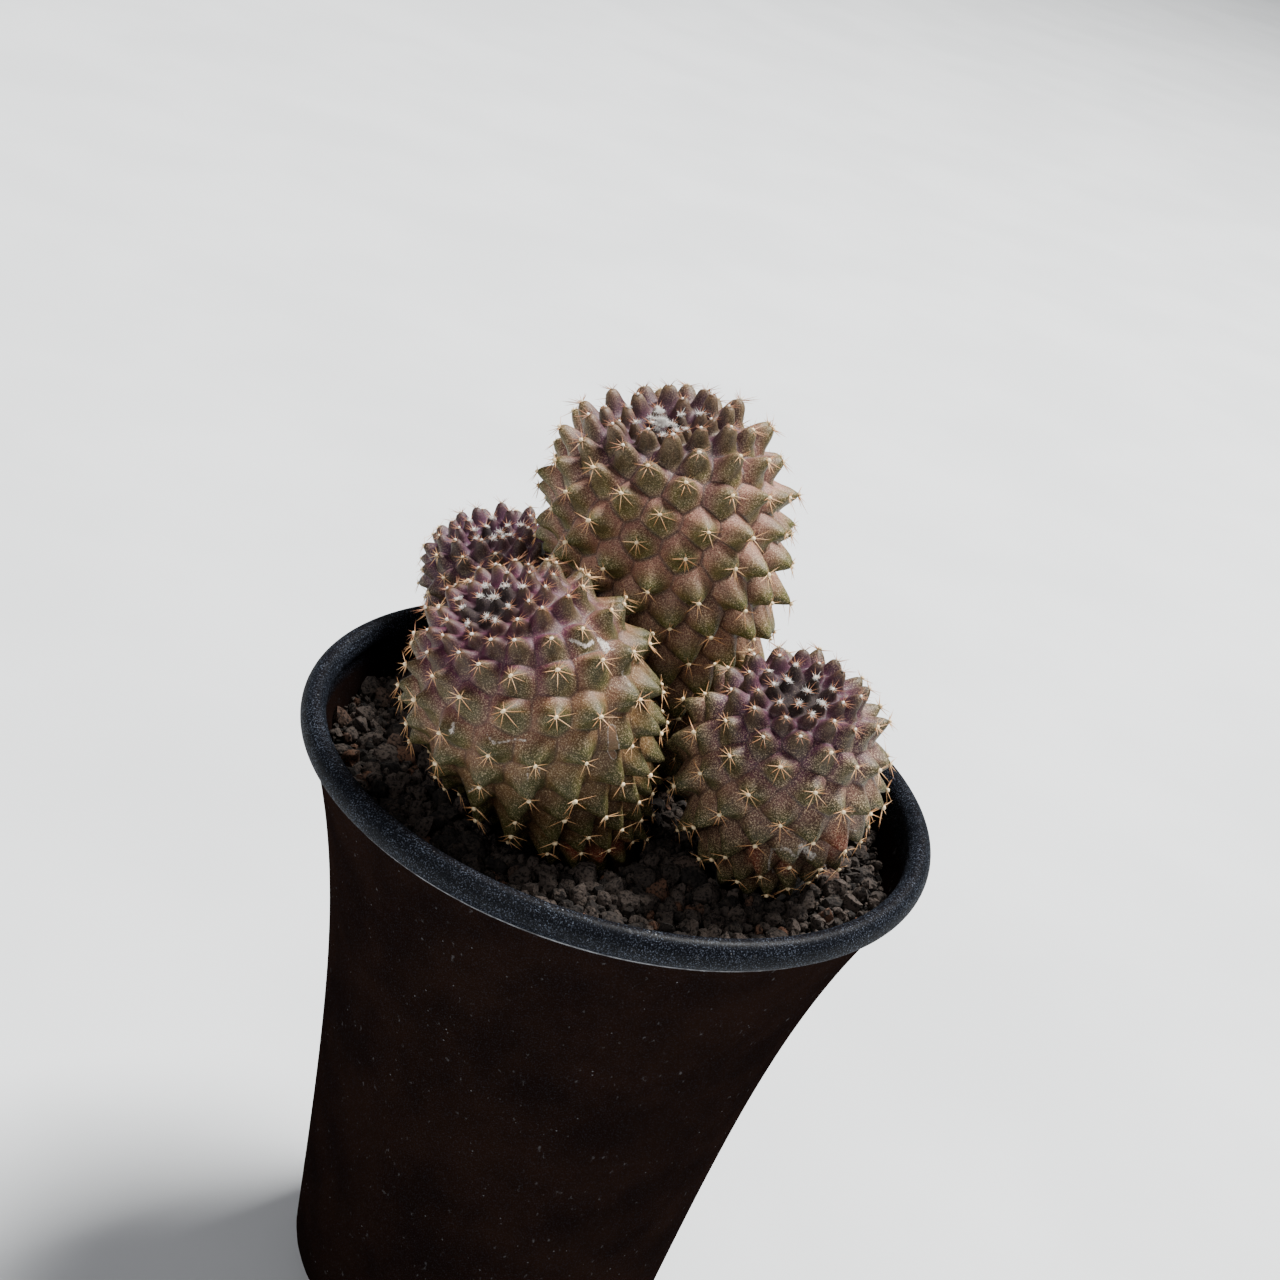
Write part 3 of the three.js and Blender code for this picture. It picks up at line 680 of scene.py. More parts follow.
def sites_of(stem, table):
    """Areoles from the crown to the foot, as lists of distance s, angle and three jitters."""

    def cell(at):
        """The area of one cell of the skin."""
        return math.sqrt(3) / 2 * along(stem, stem["spacing"], at) ** 2

    random = seeded(stem["seed"])
    s = FIRST_AREOLE * math.sqrt(cell(stations(table, "s", 0.0)) / math.pi)
    rows = []
    while True:
        at = stations(table, "s", s)
        if at["share"] < SKIN_FOOT:
            return np.array(rows)
        angle = len(rows) * GOLDEN_ANGLE + JITTER * next(random)
        centre = s - NUDGE * hanging(at["share"]) * along(stem, stem["spacing"], at)
        rows.append([centre, angle, next(random), next(random), next(random)])
        s += cell(at) / (2 * math.pi * at["radius"])


def on_sphere(angle, m):
    """Directions on the sphere, from an angle round the stem and a latitude m."""
    polar = 2 * np.arctan(np.exp(m))
    return np.stack([np.sin(polar) * np.cos(angle), np.sin(polar) * np.sin(angle), np.cos(polar)], axis=-1)


for stem in STEMS:
    stem["matrix"] = placement(stem)
    stem["table"] = walk(stem)
    stem["sites"] = sites_of(stem, stem["table"])
    print(stem["name"], len(stem["sites"]), "areoles, height", stem["height"], "mm")

# %% [markdown]
# Two stems that touch press on each other, and the smaller one gives way. A point of it that would
# lie inside a bigger neighbour's outline moves straight off that neighbour's axis. The distance
# from a point to the other stems is also needed, for the gravel and for the spines.


# %% Stems against each other
def clear_of(points, neighbours):
    """Points moved out of the neighbours' outlines."""
    moved = points.copy()
    for stem in neighbours:
        local = carried(np.linalg.inv(stem["matrix"]), moved)
        share = local[:, 2] / stem["height"]
        reach = envelope(stem, np.clip(share, NECK_FOOT, 1)) + PRESS_GAP
        distance = np.hypot(local[:, 0], local[:, 1])
        inside = (share > NECK_FOOT) & (share < 1) & (distance < reach)
        local[inside, :2] *= (reach / np.maximum(distance, 1e-6))[inside, None]
        moved = np.where(inside[:, None], carried(stem["matrix"], local), moved)
    return moved


def room_to(points, neighbours):
    """The distance from each point to the nearest neighbour's outline."""
    rooms = []
    for stem in neighbours:
        local = carried(np.linalg.inv(stem["matrix"]), points)
        share = np.clip(local[:, 2] / stem["height"], NECK_FOOT, 1)
        aside = np.maximum(np.hypot(local[:, 0], local[:, 1]) - envelope(stem, share), 0)
        rooms.append(np.hypot(aside, np.maximum(local[:, 2] - stem["height"], 0)))
    return np.min(rooms, axis=0)


# %% [markdown]
# ## Gravel
# The pot is filled to just under the bead with crushed dark rock, rounded or angular and full of
# pores, from dust up to grains of six millimetres, with black gaps between. Under it lies a closed
# bed that fills the pot, with a hole for every stem, as in the frame. Its top is flat, because the
# grains hide it. They are scattered over it in three sizes, so that small ones fill the gaps.

# %% The bed
FIT = 0.3
SOCKET_GAP = 0.9
SOCKET_TOP = 0.45
SOCKET_SIDES = 32
BED_SIDES = 144
BED_RINGS = 44
BED_DROP = 1.5


def bed_outline():
    """From the middle of the floor out, up the wall, and back in over the top."""
    floor = FOOT_RECESS + WALL + FIT
    inner = wall_radius(CORNER_RADIUS) - CORNER_RADIUS - WALL
    rows = np.linspace(2 * CORNER_RADIUS, SOIL_LEVEL - BED_DROP, 22)
    wall = [(wall_radius(z) - WALL - FIT, z) for z in rows]
    top = [(wall[-1][0] * (1 - k / BED_RINGS), wall[-1][1]) for k in range(1, BED_RINGS)]
    return [(inner, floor), *wall, *top]


def capped_turn(outline, sides):
    """An outline swept round Z and closed with a fan at each end, on the axis."""
    points = swept(outline, sides)
    faces = []
    for row in range(len(outline) - 1):
        faces += band(row * sides, (row + 1) * sides, sides)
    start, end, last = len(points), len(points) + 1, (len(outline) - 1) * sides
    points += [(0, 0, outline[0][1]), (0, 0, outline[-1][1])]
    faces += [(start, (k + 1) % sides, k) for k in range(sides)]
    faces += [(end, last + k, last + (k + 1) % sides) for k in range(sides)]
    return np.array(points), faces


def socket(stem):
    """Points and faces of the hole for a stem, a little wider than the stem and its root."""
    shares = np.linspace(NECK_FOOT, SOCKET_TOP, 12)
    side = [(float(envelope(stem, share)) + SOCKET_GAP, share * stem["height"]) for share in shares]
    root = ROOT_TIP_SHARE * float(envelope(stem, NECK_FOOT)) + FIT
    outline = [(root, NECK_FOOT * stem["height"] - ROOT_LENGTH - FIT), *side]
    points, faces = capped_turn(outline, SOCKET_SIDES)
    return carried(stem["matrix"], points), faces


bed_points, bed_faces = capped_turn(bed_outline(), BED_SIDES)
bed = make_piece("gravel_bed", bed_points, bed_faces)
for stem in STEMS:
    cut(bed, make_piece("socket_" + stem["name"], *socket(stem)))
bed.data.shade_smooth()
print("bed with", len(STEMS), "holes, its top at", SOIL_LEVEL - BED_DROP, "mm")

# %% [markdown]
# A grain of crushed rock is a lump cut by a few random planes. Each shape here starts from a
# small ball whose points are pulled in to the nearest of a handful of planes, which leaves flat
# facets with softened edges. A shape is about a millimetre long, so the scale of a copy is its
# length in millimetres.


# %% Grain shapes
GRAIN_EDGE = math.radians(32)
PLANE_SPREAD = 0.3
PLANE_REACH = (0.52, 0.86)
GRAIN_PITS = 0.05
GRAIN_WIDTH = (0.72, 0.95)
GRAIN_DEPTH = 0.85


def grain(name, seed, detail, planes, width):
    """One grain, with its width and depth given as shares of its length."""
    random = np.random.default_rng(seed)
    ball = bmesh.new()
    bmesh.ops.create_icosphere(ball, subdivisions=detail, radius=1.0)
    heights = 1 - 2 * (np.arange(planes) + 0.5) / planes
    turns = np.arange(planes) * GOLDEN_ANGLE
    ring = np.sqrt(1 - heights**2)
    normals = np.stack([ring * np.cos(turns), ring * np.sin(turns), heights], axis=-1)
    normals += PLANE_SPREAD * random.normal(size=(planes, 3))
    normals /= np.linalg.norm(normals, axis=1, keepdims=True)
    reach = random.uniform(*PLANE_REACH, planes)
    for vertex in ball.verts:
        direction = np.array(vertex.co.normalized())
        limits = reach / np.maximum(normals @ direction, 1e-3)
        length = min(1.0, limits.min()) * (1 + GRAIN_PITS * random.normal())
        vertex.co = Vector(direction * length * (1, width, width * GRAIN_DEPTH)) * 0.5 * MM
    mesh = bpy.data.meshes.new(name)
    ball.to_mesh(mesh)
    ball.free()
    mesh.shade_smooth()
    mesh.set_sharp_from_angle(angle=GRAIN_EDGE)
    return bpy.data.objects.new(name, mesh)


print("the edges of a grain are sharp from", round(math.degrees(GRAIN_EDGE)), "degrees on")

# %% [markdown]
# Six or eight shapes per size are enough once each copy is turned and scaled. A tree of geometry
# nodes picks its shapes from a collection, so each size gets one, which goes again once its copies
# are placed.


# %% Collections of shapes
def shape_set(name, shapes):
    """Puts shapes in a collection of their own, to place copies of."""
    collection = bpy.data.collections.new(name)
    bpy.context.scene.collection.children.link(collection)
    for shape in shapes:
        for holder in shape.users_collection:
            holder.objects.unlink(shape)
        collection.objects.link(shape)
    return collection


def clear_shapes(collection):
    """Removes the shapes once their copies are placed."""
    for shape in list(collection.objects):
        bpy.data.objects.remove(shape)
    bpy.data.collections.remove(collection)


grain_random = np.random.default_rng(3)


def grain_set(name, count, seed, detail, planes):
    """Grains of one size, each narrower than it is long by a share of its own."""
    widths = [grain_random.uniform(*GRAIN_WIDTH) for _ in range(count)]
    grains = [grain(f"{name}_{i}", seed + i, detail, planes, width) for i, width in enumerate(widths)]
    return shape_set(name + "_grains", grains)


coarse = grain_set("coarse", 8, seed=20, detail=2, planes=9)
middling = grain_set("middling", 8, seed=40, detail=2, planes=8)
fine = grain_set("fine", 6, seed=60, detail=1, planes=6)

# %% [markdown]
# What repeats in the pot and on the stems is set by geometry nodes, because they copy a shape
# thousands of times in one step. `Steps` holds one such tree with its named inputs, and adds nodes
# in the same way as `Finish` does.


# %% Trees of geometry nodes
class Steps:
    """A geometry node tree with named inputs."""

    def __init__(self, name, inputs):
        self.tree = bpy.data.node_groups.new(name, "GeometryNodeTree")
        face = self.tree.interface
        face.new_socket("Geometry", in_out="INPUT", socket_type="NodeSocketGeometry")
        face.new_socket("Geometry", in_out="OUTPUT", socket_type="NodeSocketGeometry")
        for label, kind in inputs.items():
            face.new_socket(label, in_out="INPUT", socket_type="NodeSocket" + kind)
        self.start = self.tree.nodes.new("NodeGroupInput").outputs

    def node(self, kind, settings=None, sockets=None, out=0):
        made = self.tree.nodes.new(kind)
        for setting, value in (settings or {}).items():
            setattr(made, setting, value)
        for key, value in (sockets or {}).items():
            if isinstance(value, bpy.types.NodeSocket):
                self.tree.links.new(value, made.inputs[key])
            else:
                made.inputs[key].default_value = value
        return made.outputs[out]

    def named(self, name, kind="FLOAT"):
        return self.node("GeometryNodeInputNamedAttribute", {"data_type": kind}, {"Name": name})

    def drawn(self, low, high, seed, kind="FLOAT"):
        """A random number or vector. keys are its sockets on the node: low, high and result."""
        keys = {"FLOAT": (2, 3, 1), "FLOAT_VECTOR": (0, 1, 0)}[kind]
        sockets = {keys[0]: low, keys[1]: high, "Seed": seed}
        return self.node("FunctionNodeRandomValue", {"data_type": kind}, sockets, out=keys[2])

    def placed(self, points, euler, scale, choice=None):
        """Copies of the shapes on points. Without a choice the number of a point picks its shape."""
        shapes = {"Collection": self.start["Shapes"], "Separate Children": True, "Reset Children": True}
        sockets = {"Points": points, "Pick Instance": True, "Scale": scale}
        sockets["Instance"] = self.node("GeometryNodeCollectionInfo", sockets=shapes)
        sockets["Rotation"] = self.node("FunctionNodeEulerToRotation", sockets={0: euler})
        if choice is not None:
            sockets["Instance Index"] = choice
        return self.node("GeometryNodeInstanceOnPoints", sockets=sockets)

    def end(self, geometry, material):
        """Makes the copies real and gives them their finish, as the export drops instances."""
        real = self.node("GeometryNodeRealizeInstances", sockets={"Geometry": geometry})
        dressed = self.node("GeometryNodeSetMaterial", sockets={"Geometry": real, "Material": material})
        self.tree.links.new(dressed, self.tree.nodes.new("NodeGroupOutput").inputs["Geometry"])
        return self.tree


# %% [markdown]
# The scatter throws points on the bed's top, not closer than a given distance, leaves out those
# with too little room to a stem or to the pot, raises each to a random height and puts a grain of
# random shape, turn and size there. The room is measured for every point of the bed's top
# beforehand and travels as an attribute. A particle system could throw grains too, but it would
# not keep them apart.

# %% Scatter tree
DENSEST = 9e6
FULL_TURN = 6.28


def scatter_tree():
    """The tree that puts grains on the bed. Its inputs are the numbers of one size of grain."""
    floats = dict.fromkeys(("Distance", "Room", "Smallest", "Largest", "Lowest", "Highest"), "Float")
    steps = Steps("grains_on_bed", dict(Shapes="Collection", **floats, Seed="Int", Material="Material"))
    start = steps.start
    enough = {"data_type": "FLOAT", "operation": "GREATER_THAN"}
    roomy = steps.node("FunctionNodeCompare", enough, {0: steps.named("room"), 1: start["Room"]})
    spots = {"Mesh": start["Geometry"], "Distance Min": start["Distance"], "Seed": start["Seed"]}
    spots.update({"Density Max": DENSEST, "Density Factor": roomy})
    points = steps.node("GeometryNodeDistributePointsOnFaces", {"distribute_method": "POISSON"}, spots)
    height = steps.drawn(start["Lowest"], start["Highest"], seed=4)
    offset = steps.node("ShaderNodeCombineXYZ", sockets={"Z": height})
    points = steps.node("GeometryNodeSetPosition", sockets={"Geometry": points, "Offset": offset})
    turn = steps.drawn((0.0, 0.0, 0.0), (FULL_TURN,) * 3, seed=7, kind="FLOAT_VECTOR")
    grains = steps.placed(points, turn, steps.drawn(start["Smallest"], start["Largest"], seed=9))
    store = {"data_type": "FLOAT", "domain": "INSTANCE"}
    toned = {"Geometry": grains, "Name": "tone", "Value": steps.drawn(0.0, 1.0, seed=12)}
    return steps.end(steps.node("GeometryNodeStoreNamedAttribute", store, toned), start["Material"])


scatter = scatter_tree()
print(scatter.name, len(scatter.nodes), "nodes")


# %% [markdown]
# A tree works as a modifier on a host mesh. Its inputs are known to the modifier by identifiers, so
# they are looked up by name first. The result is kept as a plain mesh, and the modifier goes.


# %% Grow a piece
def grow(name, host_mesh, tree, **inputs):
    """A piece made by a tree from a host mesh, as a plain mesh."""
    piece = bpy.data.objects.new(name, host_mesh)
    bpy.context.scene.collection.objects.link(piece)
    modifier = piece.modifiers.new("grow", "NODES")
    modifier.node_group = tree
    sockets = {item.name: item.identifier for item in tree.interface.items_tree if item.in_out == "INPUT"}
    for label, value in inputs.items():
        modifier[sockets[label]] = value
    settle(piece)
    return piece


# %% [markdown]
# The grains' finish is charcoal grey with a brown cast. Each grain has its own tone, and a few are
# warm brown. The pores are a bump from fine noise and small cells, deep enough to break up the
# highlights, because porous rock has none.

# %% Gravel finish
rock = Finish("gravel", Roughness=0.95, Specular_IOR_Level=0.25)
tone = rock.attribute("tone")
rock_colour = rock.blend(tone.between(0.0, 0.8), shade(30, 27, 26), shade(74, 65, 60))
rock_colour = rock.blend(tone.between(0.9, 0.97) * 0.7, rock_colour, shade(92, 60, 42))
blotch = rock.noise(1.5, detail=4.0, roughness=0.6)
rock_colour = rock.blend(blotch.between(0.45, 0.75) * 0.55, rock_colour, shade(78, 68, 60))
# Painted shade: near-black specks where the pores lie in shadow.
rock_colour = rock.blend(rock.noise(0.5, detail=3.0).between(0.52, 0.36) * 0.85, rock_colour, shade(6, 5, 5))
rock.feed("Base Color", rock_colour)
pores = rock.noise(0.55, detail=4.0, roughness=0.65) + rock.cells(0.7).between(0.0, 0.45) * 0.6
rock.feed("Normal", rock.bump(pores, 0.28, strength=0.9))
print("rock finish", len(rock.tree.nodes), "nodes")

# %% [markdown]
# The grains lie on the top of the bed alone, so its faces are copied to a mesh of their own, with
# the room at every point. The coarse grains are thrown far apart and where they have room to lie,
# the fine ones close together, up to the stems and the wall.

# %% Scatter the grains
TOP_FROM = SOIL_LEVEL - BED_DROP - 1.9
GRAIN_LEVEL = 1.5

top_faces = [face for face in bed_faces if min(bed_points[list(face), 2]) > TOP_FROM]
top = bpy.data.meshes.new("bed_top")
top.from_pydata((bed_points * MM).tolist(), [], top_faces)
to_wall = wall_radius(SOIL_LEVEL) - WALL - np.hypot(bed_points[:, 0], bed_points[:, 1])
space = np.minimum(room_to(bed_points + (0, 0, GRAIN_LEVEL), STEMS), to_wall)
space = np.where(bed_points[:, 2] > TOP_FROM, space, -1)
top.attributes.new("room", "FLOAT", "POINT").data.foreach_set("value", (space * MM).astype(np.float32))

# Least distance and room, smallest and largest length, lowest and highest place, in mm, and seed.
grain_sizes = [
    ("gravel_coarse", coarse, 3.3, 1.6, 3.4, 6.0, 0.2, 1.9, 5),
    ("gravel_middling", middling, 1.9, 0.9, 2.0, 3.5, 0.0, 1.6, 6),
    ("gravel_fine", fine, 1.0, 0.2, 0.8, 1.8, 0.0, 1.2, 7),
]
for name, shapes, distance, room, smallest, largest, lowest, highest, seed in grain_sizes:
    grains = grow(
        name, top.copy(), scatter, Shapes=shapes, Distance=distance * MM, Room=room * MM,
        Smallest=smallest, Largest=largest, Lowest=lowest * MM, Highest=highest * MM,
        Seed=seed, Material=rock.material,
    )
    declare(grains, "gravel")
    clear_shapes(shapes)
bed.data.materials.append(rock.material)
declare(bed, "gravel", "soil")

# %% [markdown]
# ## The skin
# Up close a tubercle is a low pillow with a sharp crease all round and a nose in the middle. Near
# the crown the nose is a blunt finger that stands up; on the flank it is a rounded cone, steep
# below like a chin, that hangs below the middle of its cell. The creases run half-way between
# neighbours, so the cells are those of a Voronoi pattern. They could be modelled one by one, but
# they follow from the areoles by rule: each cell is a set of triangles round its areole, and
# their outer corners are the normals of the faces of the convex hull.

# %% Neighbours and fans
def hull_faces(directions):
    """Triangles of the convex hull of points on a sphere, each counterclockwise from outside."""
    shell = bmesh.new()
    for direction in directions:
        shell.verts.new(direction)
    shell.verts.ensure_lookup_table()
    bmesh.ops.convex_hull(shell, input=list(shell.verts))
    shell.verts.index_update()
    faces = [[vertex.index for vertex in face.verts] for face in shell.faces]
    shell.free()
    turned = []
    for a, b, c in faces:
        square = np.cross(directions[b] - directions[a], directions[c] - directions[a])
        turned.append((a, b, c) if np.dot(square, directions[a]) > 0 else (a, c, b))
    return turned


def fans(stem):
    """For each areole and each of its neighbours: areole, crease corner on the right, on the left."""
    table, sites = stem["table"], stem["sites"]
    at = stations(table, "s", sites[:, 0])
    directions = np.vstack([on_sphere(sites[:, 1], at["m"] - table["middle"]), [[0, 0, -1]]])
    foot = len(sites)
    foot_m = table["m"][np.argmax(table["share"] < SKIN_FOOT)] - table["middle"]
    corners, left_of = [], {}
    for index, face in enumerate(hull_faces(directions)):
        total = directions[[i for i in face if i != foot]].sum(axis=0)
        a, b, c = directions[list(face)]
        square = np.cross(b - a, c - a)
        rim = on_sphere(math.atan2(total[1], total[0]), foot_m)
        corners.append(rim if foot in face else square / np.linalg.norm(square))
        for a, b in zip(face, (*face[1:], face[0])):
            left_of[a, b] = index
    rows = [(a, left_of[b, a], left_of[a, b], b == foot) for a, b in left_of if a != foot]
    return directions, np.array(corners), rows


print("faces of a hull of 6 points:", len(hull_faces(np.vstack([np.eye(3), -np.eye(3)]))))


# %% [markdown]
# The height of a point of the skin depends on its distance from the areole, measured on the skin,
# so that noses come out round and the corners of a cell lie deepest. It is the sum of a wide flat
# pillow and a narrow nose.

# %% Height of a tubercle
PILLOW_REACH = 1.15


def tubercle_height(away, keeled, pillow, width, power, flatness):
    """Height at a distance from the areole, as a share of the full height."""
    nose = np.exp(-((keeled / width) ** power))
    mound = np.clip(1 - (away / PILLOW_REACH) ** flatness, 0, 1)
    return pillow * mound + (1 - pillow) * nose


profile = [tubercle_height(away, away, 0.24, 0.56, 2.0, 3.0) for away in np.linspace(0, 1, 5)]
print("height across a tubercle of the tall stem:", [round(float(share), 2) for share in profile])

# %% [markdown]
# A nose on the flank gets its keel by counting distance downwards as more and distance to the
# sides as less. Then the nose is carried along the skin too, towards the crown or the gravel, which
# makes its lower side steep. Every point also gets the values that the finish reads: how near it is
# to the crease and to the chin under the areole, its age, its share of the height, and a tone.

# %% Points of the skin
CROWN_LIFT = 0.1
FLANK_LIFT = -0.1
LIFT_SHARES = (0.5, 0.85)
LIFT_RADIUS = 0.7
LOW_DROOP = -0.12
DROOP_SHARES = (0.72, 0.35)
SIDE_COUNTS = 0.75
UP_COUNTS = 0.15
DOWN_COUNTS = 1.2
CELL_REACH = 0.52
CHIN_DROP = 0.3
CHIN_REACH = 0.95
HEIGHT_VARIETY = 0.2


def skin_points(stem, directions, q, site):
    """Places points of the skin. Each is given by its direction on the sphere, its share q of the
    way from the areole to the crease, and the number of its areole."""
    table, sites = stem["table"], stem["sites"]
    angle = np.arctan2(directions[:, 1], directions[:, 0])
    polar = np.arccos(np.clip(directions[:, 2], -1, 1))
    m = np.log(np.maximum(np.tan(polar / 2), 1e-6)) + table["middle"]
    at = stations(table, "m", m)
    spacing = along(stem, stem["spacing"], at)
    age = at["s"] / stem["radius"]
    flank = smooth(age, *stem["fade"])
    rise = along(stem, stem["rise"], at) * spacing * (1 + stem["fingers"] * (1 - flank))
    home = stations(table, "s", sites[site, 0])
    middle = on_sphere(sites[site, 1], home["m"] - table["middle"])
    unit = (at["scale"] / spacing / CELL_REACH)[:, None]
    away = np.linalg.norm((directions - middle) * unit, axis=1)
    turn = sites[site, 1]
    east = np.stack([-np.sin(turn), np.cos(turn), 0 * turn], axis=-1)
    below = -np.einsum("ij,ij->i", (directions - middle) * unit, np.cross(middle, east))
    low = smooth(stem["widest"] - at["share"], 0, stem["widest"])
    shape = [
        mix(mix(crown, belly, flank), foot, low)
        for crown, belly, foot in (stem["pillow"], stem["nose"], stem["blunt"])
    ]
    steep = np.where(below > 0, DOWN_COUNTS, UP_COUNTS)
    keeled = np.sqrt(mix(away**2, SIDE_COUNTS * away**2 + steep * below**2, stem["keel"] * flank))
    height = tubercle_height(away, keeled, *shape, stem["flatness"])
    height = height * (1 + HEIGHT_VARIETY * sites[site, 2] * (1 - q))
    points = surface(stem, at, angle, rise * (1 - height))

    chin = 1 - np.sqrt(np.maximum(away**2 - 2 * CHIN_DROP * below + CHIN_DROP**2, 0)) / CHIN_REACH
    normal = np.stack([home["out"] * np.cos(turn), home["out"] * np.sin(turn), home["rise"]], axis=-1)
    north = np.cross(normal, east)
    shoulder = smooth(home["share"], *LIFT_SHARES) * smooth(home["radius"], 0, LIFT_RADIUS * stem["radius"])
    droop = LOW_DROOP * smooth(home["share"], *DROOP_SHARES)
    lift = mix(FLANK_LIFT, CROWN_LIFT, shoulder) + droop + JITTER * sites[site, 3]
    lift = lift - NUDGE * hanging(home["share"])
    pull = 0.5 * (1 - q) + 0.5 * (1 - smooth(q, 0, 1))
    reach = (along(stem, stem["spacing"], home) * pull)[:, None]
    points = points + reach * (lift[:, None] * north + (JITTER * sites[site, 4])[:, None] * east)

    world = clear_of(carried(stem["matrix"], points), STEMS[: STEMS.index(stem)])
    values = dict(crease=q, chin=chin, age=age, share=at["share"], tone=0.5 + 0.5 * sites[site, 2])
    return world, values, (east, north, normal)


# %% [markdown]
# The two front stems carry marks of their own: crusts of pale cork, thin torn lines, a dry flake
# and rusty patches. They follow no rule, so each is a chain of points at its place on the stem,
# with half a width. A painted image would do the same, but a chain is easier to move and needs no
# flattened skin.

# %% Places of the scars
SCAR_KINDS = ("crust", "line", "dry", "rust")
SCAR_CIRCLE = 0.9

# For each kind, half the width in mm and a chain of (degrees round the stem, height in mm).
SCARS = {
    "front_left": {
        "crust": [
            (0.45, [(-25.5, 42.5), (-24.1, 41.7), (-21.7, 40.8), (-14.2, 40.1)]),
            (0.8, [(-9.3, 39.2), (-9.1, 38.6), (-12.2, 38.1)]),
            (0.35, [(-112.4, 38.8), (-112.1, 38.0)]),
        ],
        "line": [
            (0.32, [(-15.0, 34.5), (-15.0, 33.1), (-18.7, 32.5)]),
            (0.24, [(-83.8, 28.7), (-83.1, 29.8), (-80.0, 31.0), (-76.6, 30.5), (-78.7, 28.2)]),
            (0.22, [(-95.4, 36.9), (-92.0, 36.2), (-85.4, 35.3), (-77.4, 34.8)]),
            (0.26, [(-125.8, 27.7), (-124.0, 25.5), (-118.6, 26.6), (-113.5, 27.4)]),
        ],
        "dry": [(0.7, [(-36.6, 28.9), (-38.9, 27.4), (-40.2, 25.9), (-40.4, 24.4)])],
        "rust": [(3.2, [(-93.4, 7.3), (-74.2, 3.7), (-50.0, 3.0)])],
    },
    "front_right": {
        "crust": [(1.0, [(-67.8, 19.4), (-62.2, 17.4), (-59.1, 16.6)])],
        "line": [
            (0.34, [(-74.5, 8.9), (-82.5, 14.0), (-83.2, 16.0), (-82.3, 18.3), (-79.1, 19.4)]),
            (0.34, [(-79.1, 19.4), (-74.7, 19.4), (-70.7, 18.5), (-63.4, 15.8)]),
            (0.2, [(-46.2, 20.2), (-40.4, 20.3), (-27.0, 18.2)]),
        ],
        "rust": [
            (2.0, [(-76.0, 16.5), (-72.0, 13.0)]),
            (3.6, [(-46.2, 20.0), (-40.7, 15.2)]),
            (2.6, [(-94.3, 15.8), (-92.2, 13.4)]),
        ],
    },
}
print("scars:", {name: sum(map(len, kinds.values())) for name, kinds in SCARS.items()})

# %% [markdown]
# Every point of the skin gets its share of each kind as a value. The share falls with the distance
# to the nearest chain and goes on below zero outside it, so that the finish can fray the edge.


# %% Shares of the scars
def scar_share(stem, points, kind):
    """1 in the middle of a scar, 0 at its edge and less outside it, down to -1."""
    local = carried(np.linalg.inv(stem["matrix"]), points)
    circle = SCAR_CIRCLE * stem["radius"]
    here = np.stack([np.arctan2(local[:, 1], local[:, 0]) * circle, local[:, 2]], axis=-1)
    best = np.full(len(points), -1.0)
    for half_width, chain in SCARS.get(stem["name"], {}).get(kind, []):
        flat = np.array([(math.radians(turn) * circle, height) for turn, height in chain])
        for start, end in zip(flat, flat[1:]):
            along_it = np.clip((here - start) @ (end - start) / ((end - start) @ (end - start)), 0, 1)
            distance = np.linalg.norm(here - start - along_it[:, None] * (end - start), axis=1)
            best = np.maximum(best, 1 - distance / half_width)
    return best


# %% [markdown]
# The triangles round every areole are cut up finely and the points that they share are joined.
# Small wrinkles come from noise, so that no two tubercles are alike.


# %% Cut up the cells and wrinkle the skin
WRINKLE_DEPTH = 0.13
WRINKLES = ((1.0, 3.4), (0.5, 1.3))


def fan_grid(n):
    """A triangle cut into n rows: row shares q, weights of its corners, triangles and last row."""
    grid = [(r, c) for r in range(n + 1) for c in range(r + 1)]
    place = {spot: k for k, spot in enumerate(grid)}
    small = []
    for r in range(n):
        for c in range(r + 1):
            small.append((place[r, c], place[r + 1, c], place[r + 1, c + 1]))
            if c < r:
                small.append((place[r, c], place[r + 1, c + 1], place[r, c + 1]))
    q = np.array([r / n for r, _ in grid])
    side = np.array([c / r if r else 0.0 for r, c in grid])
    weights = np.stack([1 - q, q * (1 - side), q * side], axis=-1)
    return q, weights, np.array(small), [place[n, c] for c in range(n + 1)]


def wrinkle_at(point, seed):
    """Noise of two sizes, each given by its height and its width in mm."""
    x, y, z = point
    layers = [h * noise.noise(Vector((x / size + seed, y / size, z / size))) for h, size in WRINKLES]
    return sum(layers)


def wrinkled(stem, world):
    """The points of a skin, moved in or out by noise."""
    wrinkles = np.array([wrinkle_at(point, stem["seed"]) for point in world])
    middle = carried(stem["matrix"], np.array([[0, 0, 0.5 * stem["height"]]]))
    away = world - middle
    away /= np.linalg.norm(away, axis=1, keepdims=True)
    return world + WRINKLE_DEPTH * wrinkles[:, None] * away


q, _, small, _ = fan_grid(3)
print("a fan of 3 rows has", len(q), "points and", len(small), "triangles")

# %% [markdown]
# The open edge under the gravel is closed with a neck and a short root, because the skin has to be
# one closed body. The edge is found from the cells at the foot, and rings of as many points go on
# from it, so that no seam is left.


# %% Close the foot
def foot_edge(rows, joined, last_row):
    """The points of the open edge, walked from one to the next round the foot."""
    edge = {}
    for index, row in enumerate(rows):
        if row[3]:
            line = joined[index, last_row]
            edge.update(zip(line[:-1], line[1:]))
    ring = [next(iter(edge))]
    while edge[ring[-1]] != ring[0]:
        ring.append(edge[ring[-1]])
    return ring


